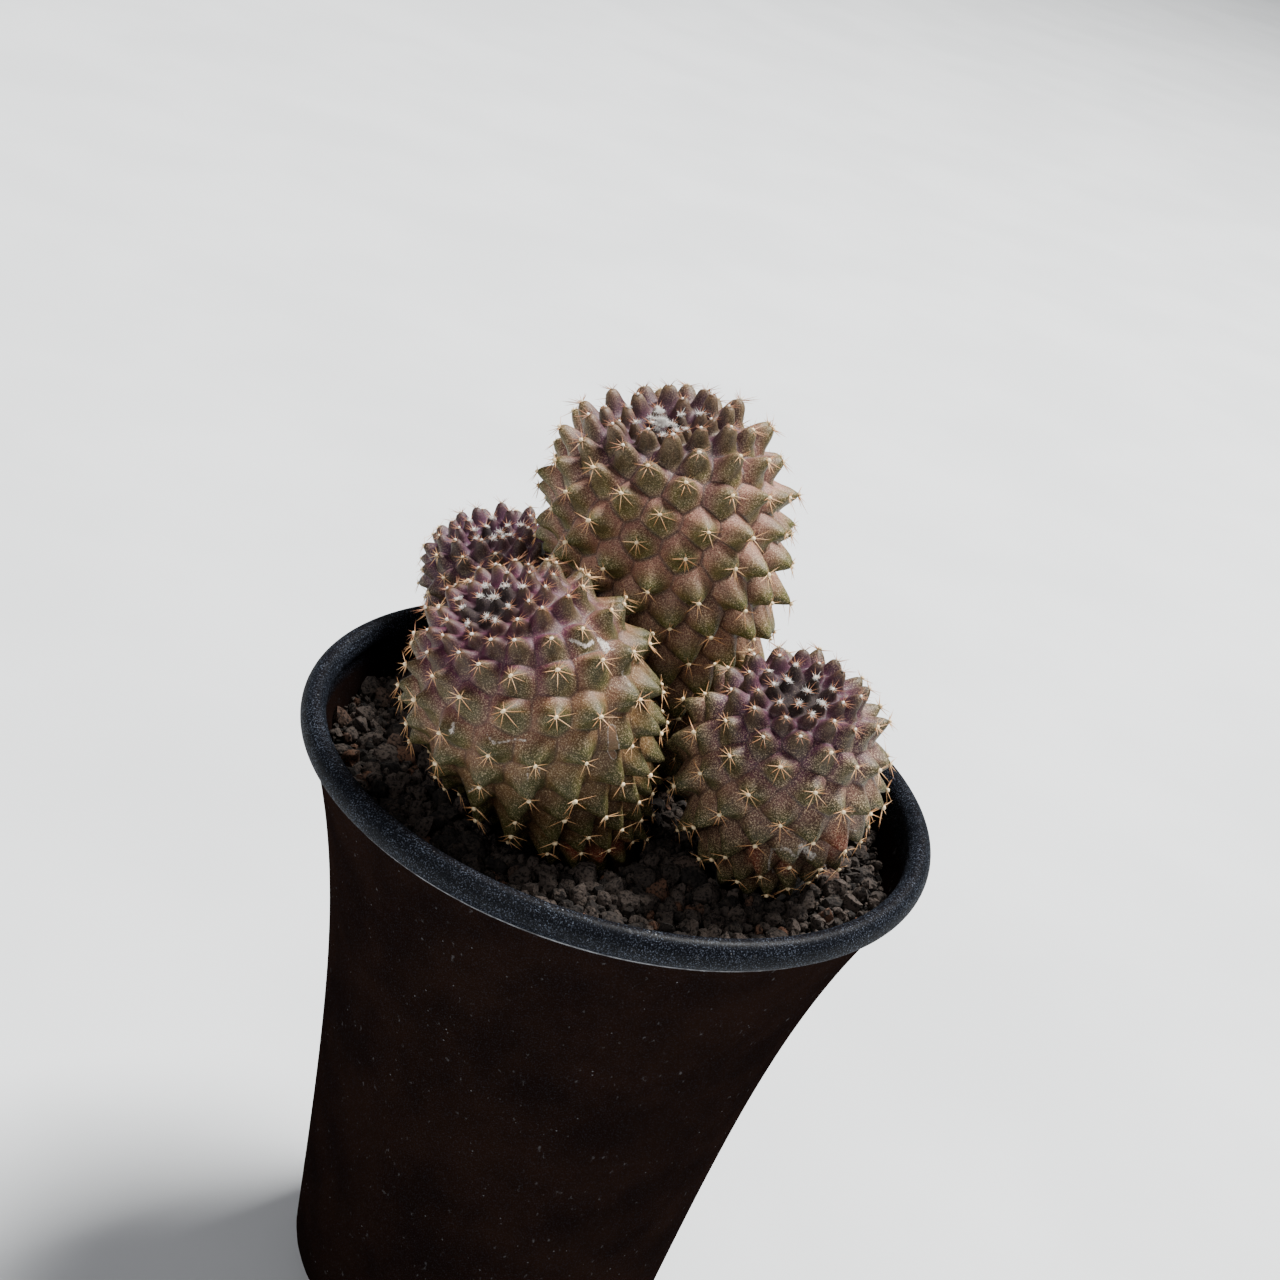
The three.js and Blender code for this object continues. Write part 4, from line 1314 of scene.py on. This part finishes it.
def rooted(stem, world, ring):
    """The points with a neck, a root and its tip added, and the faces that close them."""
    local = carried(np.linalg.inv(stem["matrix"]), world[ring])
    turns = np.arctan2(local[:, 1], local[:, 0])
    neck_z = NECK_FOOT * stem["height"]
    tip_z = neck_z - ROOT_LENGTH
    neck_radius = float(envelope(stem, NECK_FOOT))
    rings, parts = [np.array(ring)], [world]
    for radius, z in ((neck_radius, neck_z), (ROOT_TIP_SHARE * neck_radius, tip_z)):
        circle = np.stack([radius * np.cos(turns), radius * np.sin(turns), np.full(len(turns), z)], axis=-1)
        rings.append(sum(map(len, parts)) + np.arange(len(ring)))
        parts.append(carried(stem["matrix"], circle))
    tip = sum(map(len, parts))
    parts.append(carried(stem["matrix"], np.array([[0, 0, tip_z]])))
    faces = []
    for upper, lower in zip(rings, rings[1:]):
        for k in range(len(ring)):
            j = (k + 1) % len(ring)
            faces += [(lower[k], lower[j], upper[j]), (lower[k], upper[j], upper[k])]
    faces += [(tip, rings[-1][(k + 1) % len(ring)], rings[-1][k]) for k in range(len(ring))]
    return np.vstack(parts), faces


print("necks end", [round(NECK_FOOT * stem["height"], 1) for stem in STEMS], "mm from the soil's level")

# %% [markdown]
# How finely a skin is cut depends on the stem. The ones that the photograph shows from close by
# get the most rows to a fan, within what one piece may hold.


# %% Build the skins
FINENESS = {"tall": 10, "front_left": 12, "front_right": 11, "back_left": 8}


def skin(stem):
    """The whole skin of a stem, from its fans to the tip of its root, as one piece."""
    directions, corners, rows = fans(stem)
    q, weights, small, last_row = fan_grid(FINENESS[stem["name"]])
    homes, rights, lefts = (np.array([row[k] for row in rows]) for k in range(3))
    triples = np.stack([directions[homes], corners[rights], corners[lefts]], axis=1)
    spread = np.einsum("gw,fwd->fgd", weights, triples).reshape(-1, 3)
    spread /= np.linalg.norm(spread, axis=1, keepdims=True)
    _, first, joined = np.unique(np.round(spread, 7), axis=0, return_index=True, return_inverse=True)
    joined = joined.reshape(len(rows), -1)
    faces = joined[:, small].reshape(-1, 3)
    shares, sites = np.tile(q, len(rows))[first], np.repeat(homes, len(q))[first]
    world, values, _ = skin_points(stem, spread[first], shares, sites)
    world = wrinkled(stem, world)
    values.update({kind: scar_share(stem, world, kind) for kind in SCAR_KINDS})
    ring = foot_edge(rows, joined, last_row)
    points, closing = rooted(stem, world, ring)
    added = len(points) - len(world)
    values = {key: np.append(v, np.full(added, v[ring[0]])) for key, v in values.items()}
    return make_piece("skin_" + stem["name"], points, [*faces.tolist(), *closing], values)


def open_edges(piece):
    """How many edges of a piece are open, which has to be none, and its volume."""
    body = bmesh.new()
    body.from_mesh(piece.data)
    count = sum(not edge.is_manifold for edge in body.edges)
    volume = body.calc_volume(signed=True)
    body.free()
    return count, round(volume / MM**3 / 1000, 1)


for stem in STEMS:
    stem["piece"] = skin(stem)
    print(stem["piece"].name, "open edges and volume in cm3:", open_edges(stem["piece"]))

# %% [markdown]
# ## Skin finish
# The skin is brown and peppered with fine pale grains. Under each areole it is olive, with fewer
# grains and a darker middle that is painted shade under the nose; the creases are thin and painted
# dark, as the shade in their grooves, and the upper flanks flush purple round a nearly black heart.
# Low down the skin is older and browner, with pale corky flecks. Each stem has its own balance of
# the same layers, so one function makes all four finishes. Five colours and the shares come from
# the table of looks; the other colours are the same on every stem.


# %% Skin finish
# Two of these colours are painted shade: the dark olive under the noses and the dark crease colour.
UNDER_NOSE_SHADE = shade(34, 32, 12)
RUST = shade(124, 48, 32)
CREASE_SHADE = shade(36, 16, 20)
HEART = shade(16, 10, 14)
DARK_GRAIN = shade(44, 28, 20)
PALE_GRAIN = shade(230, 204, 166)
DRY_SKIN = shade(138, 104, 80)
CORK = (shade(168, 152, 140), shade(226, 222, 214))


def skin_finish(name, flank, dim, chin, flush, base, flushed, speckled, scarred, heart, crease_shading, verdant):
    """The finish of one stem. Everything after the name comes from the table of looks."""
    finish = Finish(name, IOR=1.45, Specular_IOR_Level=0.5)
    q, age, share = finish.attribute("crease"), finish.attribute("age"), finish.attribute("share")
    cell, under = finish.attribute("tone"), finish.attribute("chin")
    large = finish.noise(11.0, detail=3.0)
    medium = finish.noise(3.1, detail=4.0, roughness=0.6)
    low = share.between(0.34, 0.0)
    colour = finish.blend((large * 0.6 + medium * 0.5 + cell * 0.3).between(0.45, 0.92), dim, flank)
    colour = finish.blend(low * (medium * 0.7 + 0.45).clamped(), colour, base)
    purple = age.between(flushed[0], flushed[1]) * (0.35 + q.between(0.15, 0.7) * 0.9) * flushed[2]
    colour = finish.blend(purple.clamped(), colour, flush)
    olive = (under.between(-0.15, 0.55) + share.between(0.85, 0.5) * verdant) * (0.5 + medium * 0.7)
    olive = olive * (0.55 + age.between(0.4, 1.1) * 0.45)
    colour = finish.blend(olive.clamped(), colour, chin)
    # Painted shade: a darker olive under each nose, where the nose shades the skin below it.
    nose_shade = under.between(0.25, 0.95) * (0.3 + medium * 0.7) * age.between(0.3, 0.8)
    colour = finish.blend((nose_shade * 0.75).clamped(), colour, UNDER_NOSE_SHADE)
    rust = finish.attribute("rust").between(0.0, 0.9) * (0.3 + medium * 0.9)
    colour = finish.blend(rust.clamped(), colour, RUST)
    # Painted shade: the creases are darkened as the shade in their grooves, more so low down.
    crease = q.between(0.86, 0.99) * (0.4 + medium * 0.7) * (crease_shading + low * 0.6)
    colour = finish.blend((crease * 0.8).clamped(), colour, CREASE_SHADE)
    deep = age.between(heart, 0.4 * heart)
    colour = finish.blend(deep * 0.9, colour, HEART)

    # Fine grains, dark ones under pale ones. The pale ones thin out below an areole and in a crease.
    grains = finish.noise(0.22, detail=2.0, roughness=0.8)
    patchy = finish.noise(1.6, detail=2.0).between(0.36, 0.6)
    dots = finish.cells(0.36, randomness=0.9).between(0.36, 0.2) * patchy
    colour = finish.blend(grains.between(0.5, 0.36) * 0.8 * speckled, colour, DARK_GRAIN)
    pale = (grains.between(0.53, 0.64) * 0.7 + dots * 0.5) * (0.2 + medium * 0.9) * speckled
    pale = pale * (0.15 + age.between(heart * 0.8, 1.0) * 0.85)
    pale = pale * (1.0 - under.between(0.3, 0.8) * 0.4) * (1.0 - q.between(0.9, 1.0) * 0.6)
    colour = finish.blend(pale.clamped(), colour, PALE_GRAIN)

    # Scars with frayed edges: a dry flake with a pale rim, crusts, torn lines and corky flecks.
    dry = finish.attribute("dry")
    colour = finish.blend(dry.between(-0.1, 0.3) * (0.2 + medium * 0.6), colour, DRY_SKIN)
    frayed = finish.noise(0.6, detail=5.0, roughness=0.75) - 0.5
    crusted = (finish.attribute("crust") + frayed * 3.6).between(0.2, 0.7)
    torn = (finish.attribute("line") + frayed * 3.0).between(0.25, 0.9)
    rim = dry.between(-0.12, 0.0) * dry.between(0.22, 0.08) * (0.35 + frayed * 3.0).clamped()
    flecks = finish.noise(2.2, detail=5.0, roughness=0.7).between(0.68, 0.76)
    corky = flecks * (0.3 + low) * scarred * 0.5
    scar = (corky + crusted + torn * 0.6 + rim).clamped()
    colour = finish.blend(scar, colour, finish.blend(grains.between(0.4, 0.6), *CORK))

    finish.feed("Base Color", colour)
    finish.feed("Roughness", 0.48 + medium * 0.14 + deep * 0.3 + scar * 0.25)
    height = grains * 0.5 + medium * 0.8 + scar * 0.5 + dots * 0.25
    finish.feed("Normal", finish.bump(height, 0.18, strength=0.7))
    return finish.material


# %% [markdown]
# The tall stem is the palest, the one in front on the left has the most olive, the one in front
# on the right the most grains, and the small one behind is purple all over. flushed says between
# which ages the purple fades in, the older first, and how strong it is.

# %% Looks of the four stems
looks = {
    "tall": dict(
        flank=shade(162, 112, 96), dim=shade(120, 78, 70), chin=shade(78, 80, 20), crease_shading=1.0,
        flush=shade(74, 34, 58), base=shade(110, 86, 52), flushed=(1.3, 0.4, 0.9), speckled=0.85,
        scarred=0.4, heart=0.28, verdant=0.3,
    ),
    "front_left": dict(
        flank=shade(122, 82, 46), dim=shade(98, 56, 40), chin=shade(56, 56, 4), crease_shading=0.6,
        flush=shade(84, 30, 60), base=shade(110, 64, 34), flushed=(1.4, 0.4, 1.0), speckled=0.65,
        scarred=0.9, heart=0.36, verdant=0.5,
    ),
    "front_right": dict(
        flank=shade(128, 92, 74), dim=shade(92, 54, 50), chin=shade(54, 58, 14), crease_shading=0.9,
        flush=shade(76, 28, 60), base=shade(100, 54, 30), flushed=(1.5, 0.5, 1.0), speckled=1.0,
        scarred=0.6, heart=0.43, verdant=0.25,
    ),
    "back_left": dict(
        flank=shade(88, 48, 60), dim=shade(66, 30, 46), chin=shade(58, 46, 24), crease_shading=0.9,
        flush=shade(70, 24, 60), base=shade(70, 42, 30), flushed=(2.0, 0.4, 0.9), speckled=0.5,
        scarred=0.2, heart=0.3, verdant=0.1,
    ),
}
for stem in STEMS:
    stem["piece"].data.materials.append(skin_finish("skin_" + stem["name"], **looks[stem["name"]]))
    declare(stem["piece"], "skin_" + stem["name"], "stem_" + stem["name"])

# %% [markdown]
# ## Areoles, spines and wool
# Every areole is a felted cushion with a star of four to ten stiff spines, a sixth of a millimetre
# thick and about three millimetres long at most. The lower ones are the longest. Young stars have
# the most spines and stand up, old ones have the fewest and lie almost flat. In the heart of each
# crown the areoles carry tufts of white wool. A few shapes of each kind are made first, with few
# faces, because they are copied hundreds of times.

# %% A spine
SPINE_RADIUS = 0.086
SPINE_RINGS = 3
SPINE_SIDES = 3


def spike(points, faces, values, start, direction, bend, length, radius):
    """A thin curved spine with three sides that ends in a point."""
    direction, bend = np.array(direction), np.array(bend)
    side = np.cross(direction, (0.3, 0.2, 0.93))
    side /= np.linalg.norm(side)
    other = np.cross(direction, side)
    first = len(points)
    for ring in range(SPINE_RINGS):
        t = ring / SPINE_RINGS
        centre = np.array(start) + length * (t * direction + t * t * bend)
        for k in range(SPINE_SIDES):
            angle = 2 * math.pi * k / SPINE_SIDES
            around = math.cos(angle) * side + math.sin(angle) * other
            points.append(centre + radius * (1 - t) ** 0.8 * around)
            values.append(t)
    points.append(np.array(start) + length * (direction + bend))
    values.append(1.0)
    for ring in range(SPINE_RINGS - 1):
        low = first + SPINE_SIDES * ring
        faces += band(low, low + SPINE_SIDES, SPINE_SIDES)
    last = first + SPINE_SIDES * (SPINE_RINGS - 1)
    tip = last + SPINE_SIDES
    faces += [(last + k, last + (k + 1) % SPINE_SIDES, tip) for k in range(SPINE_SIDES)]
    faces.append(tuple(reversed(range(first, first + SPINE_SIDES))))


print("a spine has", SPINE_RINGS * SPINE_SIDES + 1, "points")

# %% [markdown]
# A star is a ring of spines round the areole. The turn, length, lift and bend of each are drawn at
# random about a rule, because in a perfect star the eye sees a machine at work.

# %% Stars of spines
STARS = 8
YOUNG_STARS = 4
OLD_STARS = 6


def star(name, seed, erect, longest, counts):
    """A star of spines. Y points to the crown: the spines on that side are fewer and shorter."""
    random = np.random.default_rng(seed)
    points, faces, values = [], [], []
    count = random.integers(*counts)
    for k in range(count):
        turn = 2 * math.pi * (k + 0.5 + 0.38 * random.uniform(-1, 1)) / count - math.pi / 2
        low = 0.5 - 0.5 * math.sin(turn)
        if low < 0.3 and random.uniform() < 0.4:
            continue
        length = longest * mix(0.45, 1.0, low**0.8) * random.uniform(0.65, 1.12)
        lift = erect + 0.2 * random.uniform(-1, 1) + 0.2 * (1 - low)
        flat = math.cos(lift)
        direction = (flat * math.cos(turn), flat * math.sin(turn), math.sin(lift))
        bend = (0.025 * random.normal(), 0.025 * random.normal(), -0.02)
        start = (0.18 * math.cos(turn), 0.18 * math.sin(turn), -0.1)
        radius = SPINE_RADIUS * random.uniform(0.8, 1.1)
        spike(points, faces, values, start, direction, bend, length, radius)
    return make_piece(name, points, faces, {"along": values})


# A collection hands out its shapes by name, so a, b and c keep regular, young and old stars apart.
stars = [star(f"star_a{i}", 100 + i, 0.3, 3.1, (8, 11)) for i in range(STARS)]
stars += [star(f"star_b{i}", 120 + i, 0.5, 3.1, (9, 13)) for i in range(YOUNG_STARS)]
stars += [star(f"star_c{i}", 150 + i, 0.25, 3.3, (5, 8)) for i in range(OLD_STARS)]
per_spine = SPINE_RINGS * SPINE_SIDES + 1
print("spines in each star:", [len(shape.data.vertices) // per_spine for shape in stars])
star_shapes = shape_set("star_shapes", stars)

# %% [markdown]
# A cushion is a low dome of seven sides, uneven at every point. A tuft is made of the same thin
# spikes as a star, but many, short, strongly bent and in all directions. Hair curves would look
# softer, but they can't be handed over as a mesh with so few faces.

# %% Cushions and tufts
HAIR_RADIUS = 0.05
HAIRS = 70
CUSHION_SIDES = 7
CUSHIONS = 4
TUFTS = 4


def cushion(name, seed):
    """A low dome of felt on the areole."""
    random = np.random.default_rng(seed)
    points, faces = [], []
    for radius, height in ((0.5, -0.3), (0.52, 0.02), (0.34, 0.26)):
        for k in range(CUSHION_SIDES):
            turn = 2 * math.pi * (k + 0.2 * random.uniform(-1, 1)) / CUSHION_SIDES
            r = radius * random.uniform(0.8, 1.15)
            points.append((r * math.cos(turn), 0.8 * r * math.sin(turn), height + 0.05 * random.normal()))
    points += [(0, 0, 0.36), (0, 0, -0.35)]
    top, over, under = 2 * CUSHION_SIDES, 3 * CUSHION_SIDES, 3 * CUSHION_SIDES + 1
    for ring in (0, CUSHION_SIDES):
        faces += band(ring, ring + CUSHION_SIDES, CUSHION_SIDES)
    faces += [(top + k, top + (k + 1) % CUSHION_SIDES, over) for k in range(CUSHION_SIDES)]
    faces += [((k + 1) % CUSHION_SIDES, k, under) for k in range(CUSHION_SIDES)]
    return make_piece(name, points, faces)


def tuft(name, seed):
    """Loose white wool: many fine curled hairs from a small patch."""
    random = np.random.default_rng(seed)
    points, faces, values = [], [], []
    for _ in range(HAIRS):
        direction = random.normal(size=3) * (1, 1, 0.45) + (0, 0, 0.35)
        direction /= np.linalg.norm(direction)
        start = (0.2 * random.normal(), 0.34 * random.normal(), 0.12 * random.normal())
        bend = 0.5 * random.normal(size=3)
        spike(points, faces, values, start, direction, bend, random.uniform(0.2, 0.62), HAIR_RADIUS)
    return make_piece(name, points, faces, {"along": values})


cushion_shapes = shape_set("cushion_shapes", [cushion(f"cushion_{i}", 140 + i) for i in range(CUSHIONS)])
tuft_shapes = shape_set("tuft_shapes", [tuft(f"tuft_{i}", 160 + i) for i in range(TUFTS)])

# %% [markdown]
# Stars, cushions and tufts are set on the areoles by one small tree, which reads the turn, size and
# choice of shape from loose points. Copying by hand would do the same, but a tree does it in one
# step, and carries the age of the areole along to the finish.


# %% The tree that sets shapes on areoles
def areole_tree():
    """The tree that puts a shape on each loose point."""
    steps = Steps("shapes_on_areoles", dict(Shapes="Collection", Material="Material"))
    turn, choice = steps.named("turn", "FLOAT_VECTOR"), steps.named("choice", "INT")
    placed = steps.placed(steps.start["Geometry"], turn, steps.named("size"), choice)
    return steps.end(placed, steps.start["Material"])


def areole_points(name, spots, turns, sizes, choices, young):
    """A mesh of loose points with the values that the tree reads."""
    mesh = bpy.data.meshes.new(name)
    mesh.from_pydata((spots * MM).tolist(), [], [])
    mesh.attributes.new("turn", "FLOAT_VECTOR", "POINT").data.foreach_set("vector", turns.ravel())
    mesh.attributes.new("size", "FLOAT", "POINT").data.foreach_set("value", sizes)
    mesh.attributes.new("choice", "INT", "POINT").data.foreach_set("value", choices.astype(np.int32))
    mesh.attributes.new("young", "FLOAT", "POINT").data.foreach_set("value", young)
    return mesh


tree = areole_tree()
print(tree.name, len(tree.nodes), "nodes")


# %% [markdown]
# Spines are amber with a paler foot and a darker tip, the young ones red-brown. Cushions are cream
# felt, whiter when young, and the wool of the crown is white. All are nearly the same all over, so
# their finishes are short.

# %% Spine and wool finishes
needle = Finish("spines", Roughness=0.45)
needle_young, needle_along = needle.attribute("young"), needle.attribute("along")
needle_tone = needle.noise(4.0, detail=2.0).between(0.35, 0.65)
needle_colour = needle.blend(needle_tone, shade(244, 194, 138), shade(230, 166, 110))
needle_colour = needle.blend(needle_young.between(0.05, 0.6) * 0.75, needle_colour, shade(176, 110, 84))
pale_start = needle_along.between(0.35, 0.0) * 0.65
needle_colour = needle.blend(pale_start, needle_colour, shade(252, 230, 190))
dark_tip = needle_along.between(0.45, 1.0) * (0.25 + needle_young.between(0.3, 0.9) * 0.7)
needle_colour = needle.blend(dark_tip, needle_colour, shade(72, 30, 26))
needle.feed("Base Color", needle_colour)

felt = Finish("areole_wool", Roughness=0.9)
felt_young = felt.attribute("young").between(0.2, 0.8)
felt_colour = felt.blend(felt_young, shade(250, 226, 182), shade(248, 244, 238))
felt_shadow = felt.noise(0.35, detail=2.0).between(0.5, 0.35) * 0.25
felt_colour = felt.blend(felt_shadow, felt_colour, shade(176, 140, 104))
felt.feed("Base Color", felt_colour)
felt.feed("Normal", felt.bump(felt.noise(0.2, detail=3.0), 0.15, strength=0.8))

hair = Finish("crown_wool", Roughness=0.8)
hair.feed("Base Color", hair.blend(hair.noise(1.0, detail=2.0), shade(250, 250, 248), shade(226, 224, 220)))
print("finishes:", [finish.material.name for finish in (needle, felt, hair)])

# %% [markdown]
# Each shape was made with Z out of the skin and Y towards the crown. Its turn on an areole comes
# from the directions there, with a little spin of its own.


# %% Turn a shape on its areole
def areole_turns(stem, axes, spins):
    """How the shape on each areole is turned: Z out of the skin and Y towards the crown."""
    turn = stem["matrix"][:3, :3]
    turns = []
    for east, north, outward, spin in zip(*axes, spins):
        basis = Matrix((turn @ east, turn @ north, turn @ outward)).transposed()
        turns.append((basis @ Matrix.Rotation(spin, 3, "Z")).to_euler())
    return np.array(turns)


# %% [markdown]
# An areole that another stem presses on, or that lies in the gravel, has no star. The others get a
# cushion and a star, young ones a star that stands up and low ones an old flat star. The youngest
# carry wool, and on the tall stem loose tufts fill the middle of the crown as well.

# %% Set them on the stems
SPINE_CLEARANCE = 2.2
SPINES_ABOVE = SOIL_LEVEL + 1.0
OLD_SHARE = 0.6
YOUNG_STAR = 0.45
YOUNG_SHARES = (0.25, 1.1)
SPIN = 0.2
STAR_SPACING = 6.4
STAR_SCALE = (0.72, 1.05)
STAR_VARIETY = (0.85, 1.12)
TUFT_SCALE = (0.7, 1.1)
CUSHION_SCALE = 0.74
CUSHION_LIFT = 0.1
TUFT_LIFT = 0.05
WOOLLY = 11
MATTED_SPREAD = 0.75
MATTED_LIFT = 0.9

for stem in STEMS:
    table, sites = stem["table"], stem["sites"]
    index = np.arange(len(sites))
    at = stations(table, "s", sites[:, 0])
    directions = on_sphere(sites[:, 1], at["m"] - table["middle"])
    spots, _, axes = skin_points(stem, directions, np.zeros(len(sites)), index)
    outwards = axes[2] @ stem["matrix"][:3, :3].T
    young = 1 - smooth(at["s"], *(share * stem["radius"] for share in YOUNG_SHARES))
    others = [other for other in STEMS if other is not stem]
    free = (room_to(spots, others) > SPINE_CLEARANCE) & (spots[:, 2] > SPINES_ABOVE)

    random = np.random.default_rng(stem["seed"])
    turns = areole_turns(stem, axes, random.normal(0, SPIN, len(sites)))
    sizes = np.clip(along(stem, stem["spacing"], at) / STAR_SPACING, *STAR_SCALE)
    sizes = sizes * random.uniform(*STAR_VARIETY, len(sites))
    tufts = random.uniform(*TUFT_SCALE, len(sites))
    old = at["share"] < OLD_SHARE
    choices = np.where(old, STARS + YOUNG_STARS + index % OLD_STARS, index % STARS)
    choices = np.where(young > YOUNG_STAR, STARS + index % YOUNG_STARS, choices)
    sets = [
        ("spines_", star_shapes, needle, free, sizes, choices, 0.0),
        ("areoles_", cushion_shapes, felt, free, CUSHION_SCALE * sizes, index % CUSHIONS, CUSHION_LIFT),
        ("wool_", tuft_shapes, hair, index < WOOLLY, tufts, index % TUFTS, TUFT_LIFT),
    ]
    for prefix, shapes, finish, chosen, size, choice, raised in sets:
        kept = np.flatnonzero(chosen)
        lie = spots[kept] + raised * outwards[kept]
        if prefix == "wool_":
            scattered = MATTED_SPREAD * random.normal(size=(stem["matted"], 3))
            matted = spots[:3].mean(axis=0) + scattered + (0, 0, MATTED_LIFT)
            kept = np.concatenate([np.zeros(stem["matted"], dtype=int), kept])
            lie = np.vstack([matted, lie])
        host = areole_points(prefix + stem["name"], lie, turns[kept], size[kept], choice[kept], young[kept])
        piece = grow(prefix + stem["name"], host, tree, Shapes=shapes, Material=finish.material)
        piece.data.shade_smooth()
        declare(piece, "skin_" + stem["name"])
for shapes in (star_shapes, cushion_shapes, tuft_shapes):
    clear_shapes(shapes)

# %% [markdown]
# ## Sizes
# The box of the frame is printed, in metres.

# %% Sizes
print("frame box", frame_box)
